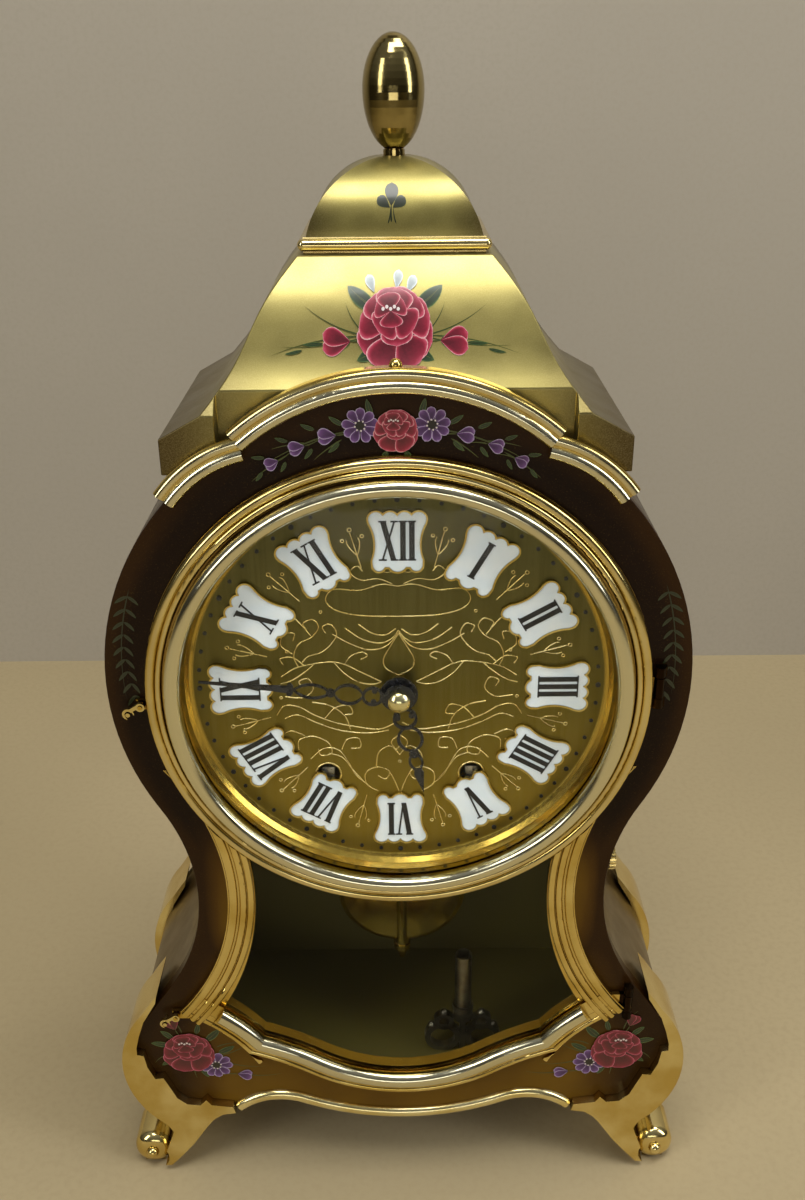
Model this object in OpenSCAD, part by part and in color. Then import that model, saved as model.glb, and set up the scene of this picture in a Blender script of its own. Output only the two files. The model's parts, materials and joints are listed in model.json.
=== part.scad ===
// Pendulum mantel clock with a waisted case, glazed front door and two-train movement.
// Millimetres. X is to the right, Y to the back, Z up; Z = 0 is the table.
// Drawn with Y = 0 on the dial face and moved back as a whole by place().

/* [Dial and hands] */
// Height of the dial centre above the table
dial_z = 246.4; // [246:0.1:247]
// Radius of the ring of minute dots
dot_ring_r = 74; // [73:0.1:74.5]
// Radius of one minute dot
dot_r = 0.75; // [0.5:0.05:0.9]
// Distance from the dial centre to a numeral's middle
numeral_r = 59; // [58.6:0.1:59.4]
// Height of the numerals
numeral_h = 15; // [13:0.5:16]
// Minute hand length from the centre
minute_len = 73; // [66:0.5:75]
// Hour hand length from the centre
hour_len = 44; // [42:0.5:46]
// Minute the minute hand points at in the rest pose
rest_minute = 46; // [0:0.5:59]
// Hour angle the hour hand points at in the rest pose, clockwise from 12
rest_hour_deg = 168; // [0:1:359]

/* [Front door] */
// Outer radius of the round bezel
bezel_r = 92.5; // [92:0.1:92.6]
// Radius of the round dial opening in the bezel
bezel_hole_r = 79.3; // [79:0.1:79.8]
// Gap between the closed door and the front panel
door_gap = 0.4; // [0.35:0.05:0.6]
// Thickness of the door's base plate
door_t = 2.2; // [2:0.1:2.4]
// Height of the dome of the dial glass
glass_rise = 9.4; // [9:0.1:9.6]
// Thickness of the dial glass
glass_t = 1.6; // [1.4:0.1:1.8]

/* [Case] */
// Thickness of the front panel
panel_t = 6; // [5.6:0.1:6]
// Depth from the dial face to the outside of the back board
case_back = 85; // [84.5:0.1:85.5]
// Thickness of the side walls
wall_t = 5; // [4:0.2:6]
// Thickness of the back board
back_t = 5; // [4:0.2:5]
// Radius of the drum part of the case
drum_r = 107.2; // [107:0.1:107.4]
// Radius of the beads of the gilt apron edging
bead_r = 2.6; // [2.3:0.1:2.8]

/* [Movement] */
// Distance from the clock's middle line to a winding arbor
arbor_x = 27.5; // [27.4:0.05:27.6]
// Depth of the winding arbors below the dial centre
arbor_drop = 38.4; // [38.3:0.05:38.5]
// Front plate's front face, behind the dial face
front_plate_y = 14; // [14:0.1:14.2]
// Radial clearance of every shaft in its hole
fit = 0.06; // [0.04:0.01:0.08]
// Radius of the pendulum bob
bob_r = 29.3; // [27:0.1:30]
// Height of the middle of the bob above the table
bob_z = 106; // [105:0.5:107]

/* [Hidden] */
$fn = 64;
front_reach = 19.6;
rear_reach = 98;
dial_y = (front_reach - rear_reach) / 2;
drum_cz = 250;
waist_r = 83.7;
waist_c = [165.3, 154.5];
hip_c = [75, 64];
hip_r = 42;
mount_r = 46;
side_c = [163, 158.5];
side_r = 94;
side_in_c = [175.2, 157.4];
side_in_r = 117;
bar_turn = 32.2;
bar_a = [0, 122.7, 75];
bar_b = [187 * sin(bar_turn), 122.7 - 187 * cos(bar_turn), 112];
bar_c = [120.9, 34.5, 66];
kink = [66.2, 71.4];
apron_mid = [0, 142.3, 110];
apron_turn = 23.4;
apron_hump = [137 * sin(apron_turn), 142.3 - 137 * cos(apron_turn), 27];
arch_c = [0, 282.7];
arch_r = 86;
wing_c = [40.7, 296.6];
wing_r = 51;
plate_t = 2;
plate_gap = 30;
back_plate_y = front_plate_y + plate_t + plate_gap;
pend_y = 56;
pivot_z = dial_z + 32.1;
door_h = panel_t + door_gap;
face_h = door_h + door_t;
roof_lo = 331.7;
roof_mid = 352;
roof_hi = 398;
cap_y = [28, 85];
dome_top = 427.2;
hinge_x = 94.8;
hinge_h = 8.6;
hinge_z = [250, 98];
knuckle_r = 1.9;
hinge_pin_r = 0.8;
back_hinge_x = -60;
back_hinge_z = [150, 270];
upper_stud = [-94.6, 244.2];
upper_keeper = [-99.2, 241.4];
lower_stud = [-95.5, 92.5];
lower_keeper = [-100.1, 89.7];
stud_r = 0.8;
keeper_r = 0.85;
// Arbor positions in the movement, measured from the dial centre: [x, z]
going_c = [arbor_x, -arbor_drop];
strike_c = [-arbor_x, -arbor_drop];
second_c = [15.47, -14.2];
strike2_c = [-15.47, -14.2];
third_c = [14, 11.65];
escape_c = [0, 19];
anchor_c = [0, 32.1];
pinwheel_c = [-24.1, 4.3];
fly_c = [-26.8, 19.5];
minwheel_c = [-11.3, -4.1];
hammer_c = [-44, -14];
bell_c = [-34, 22];

// ---------- shared shapes ----------

module place() {
  translate([0, dial_y, 0]) children();
}

// Extrudes a 2D outline drawn in X and Z from depth y0 to depth y1
module slab(y0, y1) {
  translate([0, y1, 0]) rotate([90, 0, 0]) linear_extrude(y1 - y0) children();
}

// Turns a 2D profile (radius, forward height) about a front-to-back axis at [x, z]
module turned(c, a0 = 0, sweep = 360) {
  translate([c[0], 0, c[1]]) rotate([90, 0, 0]) rotate([0, 0, a0])
    rotate_extrude(angle = sweep, $fn = 120) children();
}

// Round shaft along Y at [x, z]
module shaft(c, r, y0, y1) {
  translate([c[0], y1, c[1]]) rotate([90, 0, 0]) cylinder(h = y1 - y0, r = r);
}

module mirrored() {
  children();
  mirror([1, 0, 0]) children();
}

function arc(cx, cz, r, a0, a1, n = 16) =
  [for (i = [0:n]) let (a = a0 + (a1 - a0) * i / n) [cx + r * cos(a), cz + r * sin(a)]];
function flip(p) = [for (i = [len(p) - 1:-1:0]) if (abs(p[i][0]) > 0.001) [-p[i][0], p[i][1]]];
function angle_of(p, c) = atan2(p[1] - c[1], p[0] - c[0]);
function sum2(a, b) = [a[0] + b[0], a[1] + b[1]];
function at(c) = [c[0], dial_z + c[1]];

// ---------- case outline ----------

// Side of the case from the drum's shoulder down to the hip, t mm inside the skin
function body_side(t = 0) = concat(
  arc(0, drum_cz, drum_r - t, 44, -29, 24),
  arc(waist_c[0], waist_c[1], waist_r + t, 150, 215, 22),
  arc(hip_c[0], hip_c[1], hip_r - t, 38, -50, 20));

function apron_edge() = concat(
  arc(apron_hump[0], apron_hump[1], apron_hump[2], 45, 90 + apron_turn, 12),
  arc(apron_mid[0], apron_mid[1], apron_mid[2], 270 + apron_turn, 270, 10));

function top_edge(t) = concat(
  arc(arch_c[0], arch_c[1], arch_r - t, 90, 53, 12),
  arc(wing_c[0], wing_c[1], wing_r - t, 72.7, 37, 8));

function panel_half() = concat(top_edge(4), body_side(), [[84, 33]], apron_edge());

module panel_outline() {
  half = panel_half();
  polygon(concat(half, flip(half)));
}

// Lower edge of the door's bottom bar, from the middle out, d mm above its lip
function kink_at(d) = [kink[0] - 0.633 * d, kink[1] + 0.85 * d];
function bar_line(d) = concat(
  arc(bar_a[0], bar_a[1], bar_a[2] - d, 270, 270 + bar_turn, 10),
  arc(bar_b[0], bar_b[1], bar_b[2] + d, 90 + bar_turn - 1, angle_of(kink_at(d), bar_b), 8),
  arc(bar_c[0], bar_c[1], bar_c[2] + d, angle_of(kink_at(d), bar_c) - 1, 116, 10));

// Lower part of the door outline above the bar line, between two side circles
module lower_door(d, c, r) {
  half = concat(bar_line(d), [[92, 205], [0, 205]]);
  difference() {
    polygon(concat(half, flip(half)));
    for (s = [-1, 1]) translate([s * c[0], c[1]]) circle(r, $fn = 120);
  }
}

module door_outline() {
  translate([0, dial_z]) circle(bezel_r, $fn = 120);
  lower_door(0, side_c, side_r);
}

module window_outline(grow = 0) {
  difference() {
    lower_door(12.5 - grow, side_in_c, side_in_r - grow);
    translate([0, dial_z]) circle(bezel_r - grow, $fn = 120);
  }
}

// ---------- case ----------

module front_panel() {
  color([0.25, 0.13, 0.04]) place() slab(-panel_t, 0) difference() {
    panel_outline();
    translate([0, dial_z]) circle(81.5, $fn = 120);
    window_outline(1.5);
  }
}

module wall() {
  outer = body_side();
  inner = body_side(wall_t);
  slab(0, case_back - back_t)
    polygon(concat(outer, [for (i = [len(inner) - 1:-1:0]) inner[i]]));
}

module right_wall() {
  color([0.34, 0.22, 0.08]) place() difference() {
    wall();
    translate([70, 2.5, 165]) rotate([0, 90, 0]) cylinder(h = 20, r = 1.5 + fit);
  }
}

module left_wall() {
  color([0.34, 0.22, 0.08]) place() mirror([1, 0, 0]) wall();
}

module back_opening(w, lo, hi) {
  translate([-w, lo]) square([2 * w, hi - lo]);
  translate([0, hi]) circle(w, $fn = 96);
}

module back_board() {
  color([0.22, 0.15, 0.07]) place() slab(case_back - back_t, case_back) difference() {
    half = concat([[0, 324.5]], body_side(), [[84, 33], [74, 37], [0, 37]]);
    polygon(concat(half, flip(half)));
    back_opening(52, 120, 255);
  }
}

module floor_board() {
  color([0.2, 0.15, 0.08]) place()
    translate([-105.8, 0.02, 44.5]) cube([211.6, case_back - back_t - 0.04, 3.5]);
}

// Side profile of the roof, S-curved between two widths
function roof_edge(wide, narrow) = concat(
  [for (i = [0:14]) let (t = i / 14)
    [wide - (wide - narrow) * t - 1.5 * sin(360 * t), roof_mid + (roof_hi - roof_mid) * t]]);

module roof() {
  side = concat([[76.5, 324.5], [76.5, roof_lo], [79.2, roof_lo], [79.2, 344.2]],
    roof_edge(65, 33));
  front = [for (p = roof_edge(65, 33)) [65 - panel_t - p[0], p[1]]];
  color([0.45, 0.36, 0.16]) place() difference() {
    intersection() {
      slab(-panel_t, case_back) polygon(concat(side, flip(side)));
      translate([-90, 0, 0]) rotate([90, 0, 90]) linear_extrude(180)
        polygon(concat(front, [[case_back, roof_hi], [case_back, 324.5], [-panel_t, 324.5]]));
    }
    slab(-panel_t - 1, 0) {
      panel_outline();
      translate([-77.5, 320]) square([155, 11.7]);
      translate([-60, 325]) square([120, 80]);
    }
    translate([-56, 8, 320]) cube([112, 69, 40]);
    shaft([0, dial_z], 84.4, 0, 1.6);
  }
}

module trim_profile(r) {
  translate([r - 7, panel_t]) square([5.5, 5]);
  translate([r - 2.2, 9.3]) circle(2.2);
  translate([r - 6.2, 9.6]) circle(2.4);
}

module cornice_trim() {
  color([0.8, 0.62, 0.22]) place() {
    turned(arch_c, 49.5, 81) {
      trim_profile(arch_r);
      translate([arch_r - 4, 2]) square([3, 8]);
    }
    mirrored() turned(wing_c, 36.5, 40.5) trim_profile(wing_r);
    translate([0, -6, arch_c[1] + arch_r]) sphere(2.2);
  }
}

module cap_moulding() {
  y0 = cap_y[0];
  depth = cap_y[1] - cap_y[0];
  z0 = roof_hi;
  color([0.75, 0.58, 0.22]) place() {
    translate([-31, y0 + 1.5, z0]) cube([62, depth - 1.5, 5.5]);
    for (x = [-31, 31]) translate([x, y0 + 1.5, z0 + 3]) rotate([-90, 0, 0])
      cylinder(h = depth - 1.5, r = 2);
    translate([-31, y0 + 1.5, z0 + 3]) rotate([0, 90, 0]) cylinder(h = 62, r = 2);
    for (x = [-31, 31]) translate([x, y0 + 1.5, z0 + 3]) sphere(2);
  }
}

module cap_dome() {
  color([0.45, 0.36, 0.16]) place() intersection() {
    translate([0, cap_y[0] + 2, roof_hi - 1.25]) rotate([-90, 0, 0])
      cylinder(h = 54, r = 30.75, $fn = 96);
    translate([-32, 56, roof_hi + 3.4]) rotate([0, 90, 0]) cylinder(h = 64, r = 26.1, $fn = 96);
    translate([-32, cap_y[0], roof_hi + 5.5]) cube([64, 60, dome_top - roof_hi - 5.5]);
  }
}

module finial() {
  mid = 448;
  egg = concat(
    [for (a = [-71.5:7:88]) [10.7 * cos(a), mid + (a < 0 ? 19.5 : 18) * sin(a)]],
    [[0, 466]]);
  color([0.72, 0.6, 0.3]) place() translate([0, 56, 0]) {
    rotate_extrude($fn = 72) polygon(concat([[0, 429]], [[3.4, 429]], egg));
    translate([0, 0, dome_top]) cylinder(h = 1.9, r = 3.8);
  }
}

// ---------- gilt corner mounts with the feet ----------

function mount_outer() = concat([[102.6, 104.5], [106.2, 99.5]],
  arc(hip_c[0], hip_c[1], mount_r, 41, -42, 16), [[104.4, 28.5], [102.6, 24.5], [104, 20]]);
function mount_inner() = [[110, 3], [105, 3.5], [99.5, 10], [94, 17], [87, 28], [84, 32],
  [80, 35], [74, 36], [75, 39.6], [84.3, 40.9], [86.5, 44], [89.4, 40.9], [95, 41.6],
  [99.1, 45.5], [101.9, 52.5], [104, 57.5], [107.6, 57.1], [110.3, 63.9], [111.2, 70.6],
  [114, 71.4], [113.9, 75.1], [112.2, 81.8], [109.5, 89.8], [103.4, 100.5]];

// Foot scroll: a turned bun with its axis front to back and a button on the front
module foot_scroll() {
  turned([114, 8.6]) {
    translate([0, -12]) square([8.6, 14]);
    intersection() {
      translate([3.6, 2]) circle(5);
      translate([0, 2]) square(10);
    }
    translate([0, 2]) square([3.6, 5]);
  }
  translate([114, -7, 8.6]) sphere(2.8);
  translate([109.4, -4, 0]) cube([9.2, 14, 1.6]);
}

module mount() {
  slab(-panel_t - 4, -panel_t) difference() {
    polygon(concat(mount_outer(), mount_inner()));
    translate([114, 8.6]) circle(8);
  }
  difference() {
    slab(-panel_t - 4, 14) polygon(concat(mount_outer(), mount_inner()));
    slab(-panel_t, 20) union() {
      panel_outline();
      polygon([[60, 33], [103, 33], [103, 60], [60, 60]]);
    }
    slab(-20, 20) translate([114, 8.6]) circle(8);
  }
  foot_scroll();
}

module front_mounts() {
  color([0.85, 0.66, 0.24]) place() mirrored() mount();
}

module rear_mounts() {
  mid = (case_back - panel_t) / 2;
  color([0.85, 0.66, 0.24]) place() mirrored()
    translate([0, mid, 0]) mirror([0, 1, 0]) translate([0, -mid, 0]) mount();
}

module apron_bead() {
  color([0.88, 0.72, 0.34]) place() intersection() {
    union() {
      turned(apron_mid, 270 - apron_turn, 2 * apron_turn)
        translate([apron_mid[2], panel_t]) circle(bead_r);
      mirrored() turned(apron_hump, 48, 42 + apron_turn)
        translate([apron_hump[2], panel_t]) circle(bead_r);
    }
    slab(-20, -panel_t) translate([-80, 20]) square([160, 40]);
  }
}

// ---------- dial ----------

module dial_plate() {
  color([0.5, 0.42, 0.18]) place() difference() {
    turned([0, dial_z]) polygon([[0, -1.2], [84, -1.2], [84, 0], [81.1, 0], [81.1, 5],
      [80.2, 5], [79.2, 2.6], [77.8, 0.9], [76.2, 0], [0, 0]]);
    shaft([0, dial_z], 4.2, -2, 3);
    for (x = [-arbor_x, arbor_x]) shaft([x, dial_z - arbor_drop], 4.4, -2, 3);
  }
}

module minute_dots() {
  color([0.05, 0.05, 0.05]) place() for (i = [0:59])
    translate([0, 0, dial_z]) rotate([0, i * 6, 0])
      shaft([0, dot_ring_r], i % 5 == 0 ? dot_r * 1.3 : dot_r, -0.4, 0);
}

// Enamel tablet outline, g mm larger all round
module tablet(g = 0) {
  difference() {
    polygon([[-10 - g, 67.4 + g], [10 + g, 67.4 + g], [8.7 + g, 49 - g], [-8.7 - g, 49 - g]]);
    for (s = [-1, 1]) translate([s * 24.8, 57.6]) circle(17 - g);
  }
  for (x = [-7.4, -2.5, 2.5, 7.4]) translate([x, 67.2]) circle(2.7 + g);
  for (x = [-6.6, 6.6]) translate([x, 49.4]) circle(2 + g);
  translate([0, 50.4]) circle(3.2 + g);
}

module around(n) {
  for (i = [0:n - 1]) translate([0, 0, dial_z]) rotate([0, i * 360 / n, 0]) children();
}

module cartouches() {
  color([0.92, 0.93, 0.95]) place() around(12) slab(-1.2, 0) tablet();
}

module cartouche_rims() {
  color([0.85, 0.7, 0.3]) place() around(12) slab(-1.7, 0) difference() {
    tablet(0.6);
    tablet();
  }
}

ROMAN = ["XII", "I", "II", "III", "IIII", "V", "VI", "VII", "VIII", "IX", "X", "XI"];
function glyph_w(c) = c == "I" ? 3.1 : 7;
function run(s, n) = n == 0 ? 0 : run(s, n - 1) + glyph_w(s[n - 1]);

module serif(x, w) {
  for (y = [0, numeral_h - 0.5]) translate([x, y]) square([w, 0.5]);
}

module stroke(x0, x1, w) {
  polygon([[x0, numeral_h], [x0 + w, numeral_h], [x1 + w, 0], [x1, 0]]);
}

module glyph(c) {
  if (c == "I") {
    serif(0.1, 2.9);
    translate([0.6, 0]) square([1.9, numeral_h]);
  }
  if (c == "V") {
    translate([0, numeral_h - 0.5]) square([2.8, 0.5]);
    translate([4.4, numeral_h - 0.5]) square([2.4, 0.5]);
    stroke(0.5, 2.7, 1.9);
    stroke(5.4, 3.6, 0.6);
  }
  if (c == "X") {
    serif(0, 2.8);
    serif(4.2, 2.6);
    stroke(0.6, 4.3, 1.9);
    stroke(5.3, 1, 0.6);
  }
}

module numerals() {
  color([0.03, 0.03, 0.04]) place() for (i = [0:11]) {
    s = ROMAN[i];
    translate([0, 0, dial_z]) rotate([0, i * 30, 0]) slab(-1.45, -1.2)
      translate([-run(s, len(s)) / 2, numeral_r - numeral_h / 2])
        for (k = [0:len(s) - 1]) translate([run(s, k), 0]) glyph(s[k]);
  }
}

// ---------- hands ----------

module loop(y, r, w) {
  translate([0, y]) difference() {
    circle(r);
    circle(r - w);
  }
}

// Pointed oval loop between y0 and y1
module leaf_loop(y0, y1, half, w) {
  len2 = (y1 - y0) / 2;
  big = (len2 * len2 + half * half) / (2 * half);
  translate([0, (y0 + y1) / 2]) difference() {
    intersection() {
      translate([big - half, 0]) circle(big, $fn = 96);
      translate([half - big, 0]) circle(big, $fn = 96);
    }
    intersection() {
      translate([big - half + w, 0]) circle(big, $fn = 96);
      translate([half - big - w, 0]) circle(big, $fn = 96);
    }
  }
}

module hour_outline() {
  translate([0, 5]) square([3, 4], center = true);
  loop(10.4, 4.6, 1.1);
  for (s = [-1, 1]) translate([s * 2.7, 9.6]) circle(1.1);
  leaf_loop(14, 25, 5, 1.2);
  translate([0, 26]) circle(1.9);
  leaf_loop(25.6, 34, 2.8, 0.9);
  polygon([[-1.3, 33], [1.3, 33], [1.9, 35], [0, hour_len], [-1.9, 35]]);
}

module minute_outline() {
  translate([0, 5]) square([2.4, 4], center = true);
  loop(9.6, 4, 1);
  for (s = [-1, 1]) translate([s * 2.3, 9.1]) circle(1);
  leaf_loop(13, 24, 4.4, 1.1);
  translate([0, 25]) circle(1.7);
  leaf_loop(24.6, 39, 3.2, 0.9);
  for (s = [-1, 1]) translate([s * 1.5, 40]) circle(1.1);
  polygon([[-1.6, 38.6], [1.6, 38.6], [1.1, 46], [0.35, minute_len], [-0.35, minute_len],
    [-1.1, 46]]);
}

module turn_hand(deg) {
  translate([0, 0, dial_z]) rotate([0, deg, 0]) children();
}

module hour_hand() {
  color([0.04, 0.04, 0.05]) place() turn_hand(rest_hour_deg) slab(-6.8, -5.8) difference() {
    union() {
      circle(7);
      hour_outline();
    }
    circle(3.4);
  }
}

module minute_hand() {
  color([0.04, 0.04, 0.05]) place() turn_hand(rest_minute * 6) slab(-9.4, -8.6) difference() {
    union() {
      circle(5.6);
      minute_outline();
    }
    circle(2);
  }
}

module hand_nut() {
  color([0.8, 0.65, 0.3]) place() difference() {
    union() {
      shaft([0, dial_z], 4, -12.2, -9.4);
      intersection() {
        translate([0, -9.6, dial_z]) sphere(5);
        shaft([0, dial_z], 4, -15.2, -11.7);
      }
    }
    shaft([0, dial_z], 1.3 + fit, -13.2, -9);
  }
}

// ---------- wheels ----------

// Gear outline: radial flanks inside the pitch circle, pointed teeth outside it
module gear(teeth, m, tooth_at, top, share) {
  pitch = teeth * m / 2;
  step = 360 / teeth;
  root = pitch - 1.3 * m;
  polygon([for (i = [0:teeth - 1]) for (k = [0:4])
    let (a = tooth_at + i * step + [-share, -share, 0, share, share][k] * step / 2,
      r = [root, pitch, pitch + top * m, pitch, root][k]) [r * cos(a), r * sin(a)]]);
}

// Tooth pointing at the partner for a wheel, gap pointing at the partner for a pinion
function tooth_to(c, partner) = angle_of(partner, c);
function gap_to(c, partner, teeth) = angle_of(partner, c) + 180 / teeth;

module wheel(c, partner, teeth, m, y0, y1) {
  translate([c[0], 0, dial_z + c[1]]) slab(y0, y1) difference() {
    gear(teeth, m, tooth_to(c, partner), 1.05, 0.42);
    if (teeth > 50) for (a = [0:72:359]) rotate(a + 20) translate([teeth * m * 0.29, 0])
      circle(teeth * m * 0.12);
  }
}

module pinion(c, partner, teeth, m, y0, y1) {
  translate([c[0], 0, dial_z + c[1]]) slab(y0, y1)
    gear(teeth, m, gap_to(c, partner, teeth), 0.75, 0.34);
}

module arbor(c, r = 1, y0 = front_plate_y, y1 = back_plate_y + plate_t) {
  shaft(at(c), r, y0, y1);
}

module centre_wheel() {
  color([0.78, 0.62, 0.28]) place() {
    wheel([0, 0], third_c, 84, 0.4, 22, 23.4);
    pinion([0, 0], second_c, 10, 0.6, 16.7, 19.4);
    arbor([0, 0], 1.3, -12.8, back_plate_y + plate_t);
  }
}

module second_wheel() {
  color([0.78, 0.62, 0.28]) place() {
    wheel(second_c, [0, 0], 60, 0.6, 17.3, 18.8);
    pinion(second_c, going_c, 10, 0.6, 39, 42);
    arbor(second_c);
  }
}

module third_wheel() {
  color([0.78, 0.62, 0.28]) place() {
    wheel(third_c, escape_c, 72, 0.4, 27, 28.4);
    pinion(third_c, [0, 0], 7, 0.4, 21.5, 24);
    arbor(third_c, 0.85);
  }
}

module escape_wheel() {
  color([0.82, 0.66, 0.3]) place() {
    translate([escape_c[0], 0, dial_z + escape_c[1]]) slab(34, 35.3) difference() {
      polygon([for (i = [0:34]) for (k = [0:1])
        let (a = i * 360 / 35 + k * 3.2, r = k == 0 ? 9.6 : 7.9) [r * cos(a), r * sin(a)]]);
      for (a = [0:72:359]) rotate(a) translate([4.9, 0]) circle(1.8);
    }
    pinion(escape_c, third_c, 7, 0.4, 26.5, 29);
    arbor(escape_c, 0.8);
  }
}

module barrel(c, partner) {
  difference() {
    union() {
      shaft(at(c), 21, 20, 39.5);
      wheel_solid(c, partner, 80, 0.6, 39.5, 41.5);
    }
    shaft(at(c), 3 + fit, 19, 42);
  }
}

module wheel_solid(c, partner, teeth, m, y0, y1) {
  translate([c[0], 0, dial_z + c[1]]) slab(y0, y1)
    gear(teeth, m, tooth_to(c, partner), 1.05, 0.42);
}

module going_barrel() {
  color([0.8, 0.64, 0.28]) place() barrel(going_c, second_c);
}

module strike_barrel() {
  color([0.8, 0.64, 0.28]) place() barrel(strike_c, strike2_c);
}

// Squared winding arbor with its ratchet wheel
module winding_arbor(c) {
  shaft(at(c), 3, 11.2, back_plate_y + plate_t);
  translate([c[0] - 2.25, 1, dial_z + c[1] - 2.25]) cube([4.5, 10.2, 4.5]);
  translate([c[0], 0, dial_z + c[1]]) slab(11.4, 13.2)
    polygon([for (i = [0:15]) for (k = [0:1])
      let (a = i * 22.5 + k * 3, r = k == 0 ? 9.4 : 7.6) [r * cos(a), r * sin(a)]]);
}

module going_arbor() {
  color([0.7, 0.7, 0.72]) place() winding_arbor(going_c);
}

module strike_arbor() {
  color([0.7, 0.7, 0.72]) place() winding_arbor(strike_c);
}

module strike_wheel() {
  color([0.78, 0.62, 0.28]) place() {
    wheel(strike2_c, pinwheel_c, 60, 0.6, 43.5, 44.8);
    pinion(strike2_c, strike_c, 10, 0.6, 39, 42);
    arbor(strike2_c);
  }
}

module pin_wheel() {
  color([0.78, 0.62, 0.28]) place() {
    wheel(pinwheel_c, fly_c, 70, 0.4, 30, 31.4);
    pinion(pinwheel_c, strike2_c, 8, 0.6, 42.9, 45.4);
    arbor(pinwheel_c, 0.9);
    for (a = [0:45:359])
      shaft(at(sum2(pinwheel_c, [12.4 * cos(a), 12.4 * sin(a)])), 0.7, 31.4, 34);
  }
}

module fly() {
  color([0.75, 0.68, 0.45]) place() {
    pinion(fly_c, pinwheel_c, 7, 0.4, 29.3, 32);
    arbor(fly_c, 0.8);
    translate([fly_c[0] - 8.6, 18, dial_z + fly_c[1] - 0.5]) cube([17.2, 9, 1]);
    shaft(at(fly_c), 1.8, 18, 27);
  }
}

module cannon_pinion() {
  c = at([0, 0]);
  color([0.72, 0.7, 0.62]) place() difference() {
    union() {
      pinion([0, 0], minwheel_c, 12, 0.5, 10.9, 13);
      shaft(c, 2.4, -8.6, 11);
      shaft(c, 2, -9.4, -8.6);
    }
    shaft(c, 1.3 + fit, -12, 14);
  }
}

module minute_wheel() {
  color([0.78, 0.62, 0.28]) place() difference() {
    union() {
      wheel_solid(minwheel_c, [0, 0], 36, 0.5, 11.2, 12.6);
      translate([minwheel_c[0], 0, dial_z + minwheel_c[1]]) slab(6.8, 11.2)
        gear(12, 0.4, tooth_to(minwheel_c, [0, 0]), 0.75, 0.34);
    }
    arbor(minwheel_c, 1 + fit, 6, 14);
  }
}

module hour_wheel() {
  c = at([0, 0]);
  color([0.78, 0.62, 0.28]) place() difference() {
    union() {
      translate([0, 0, dial_z]) slab(7.6, 9)
        gear(48, 0.4, gap_to([0, 0], minwheel_c, 48), 1, 0.4);
      shaft(c, 3.8, -5.8, 7.6);
      shaft(c, 3.4, -6.8, -5.8);
    }
    shaft(c, 2.4 + fit, -8, 10);
  }
}

// ---------- escapement and pendulum ----------

module anchor() {
  c = at(anchor_c);
  color([0.6, 0.6, 0.63]) place() {
    translate([c[0], 0, c[1]]) slab(33.6, 35.8) {
      circle(3);
      for (s = [-1, 1]) scale([s, 1]) polygon([[0, 2.4], [9.2, -2.6], [9.9, -7.6],
        [8.4, -6.4], [7, -2.9], [0, -1.4]]);
    }
    shaft(c, 1, front_plate_y, 52);
    translate([-1.5, 50, c[1] - 31]) cube([3, 1.6, 31]);
    for (x = [-3.2, 1.9]) translate([x, 50, c[1] - 31]) cube([1.3, 8, 3]);
    translate([-3.2, 50, c[1] - 31]) cube([6.4, 1.6, 3]);
  }
}

module suspension_bracket() {
  z = pivot_z + 2.5;
  color([0.75, 0.6, 0.28]) place() difference() {
    translate([-6, back_plate_y + plate_t, z]) cube([12, 12, 8]);
    translate([-1.2, 51.5, z - 1]) cube([2.4, 9, 10]);
  }
}

module pendulum_rod() {
  color([0.75, 0.72, 0.6]) place() {
    translate([-0.1, 53.5, pivot_z - 10]) cube([0.2, 5, 21.5]);
    shaft([0, pivot_z + 11.8], 1, 52.6, 59.4);
    translate([-1.5, 53, pivot_z - 14]) cube([3, 6, 6]);
    translate([0, pend_y, bob_z - 40]) cylinder(h = pivot_z - 12 - bob_z + 40, r = 1.3);
  }
}

module bob() {
  color([0.85, 0.7, 0.25]) place() difference() {
    union() {
      turned([0, bob_z]) polygon([[0, -58.6], [27, -58.6], [bob_r, -57.4], [bob_r, -54.6],
        [27, -53.4], [0, -53.4]]);
      translate([0, pend_y, bob_z - 31.5]) cylinder(h = 66, r = 3.5);
    }
    translate([0, pend_y, bob_z - 40]) cylinder(h = 90, r = 1.35);
  }
}

module rating_nut() {
  z = bob_z - 31.5;
  color([0.8, 0.65, 0.3]) place() translate([0, pend_y, z]) difference() {
    rotate_extrude() polygon([[0, 0], [4, 0], [4, -3], [2.6, -4.6], [1.2, -9], [0, -9.6]]);
    translate([0, 0, -8.5]) cylinder(h = 12, r = 1.35);
  }
}

// ---------- movement frame, bell and hammer ----------

module plate(y0) {
  slab(y0, y0 + plate_t) translate([0, dial_z]) difference() {
    hull() for (x = [-46, 46], z = [-53, 39]) translate([x, z]) circle(4, $fn = 32);
    circle(1.3 + fit);
    for (c = [going_c, strike_c]) translate(c) circle(3 + fit);
    for (c = [second_c, strike2_c]) translate(c) circle(1 + fit);
    translate(third_c) circle(0.85 + fit);
    translate(escape_c) circle(0.8 + fit);
    translate(pinwheel_c) circle(0.9 + fit);
    translate(fly_c) circle(0.8 + fit);
    translate(anchor_c) circle(1 + fit);
    translate(hammer_c) circle(1.2 + fit);
  }
}

module front_plate() {
  color([0.78, 0.64, 0.3]) place() {
    plate(front_plate_y);
    arbor(minwheel_c, 1, 5.6, front_plate_y);
    for (x = [-40, 40], z = [-20, 26]) shaft([x, dial_z + z], 2.2, 1.2, front_plate_y);
  }
}

module back_plate() {
  color([0.78, 0.64, 0.3]) place() plate(back_plate_y);
}

module pillars() {
  color([0.7, 0.56, 0.25]) place()
    for (c = [[0, -52], [46, -6], [-46, -6], [38, 38], [-38, 38]])
      shaft(at(c), 3, front_plate_y + plate_t, back_plate_y);
}

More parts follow.
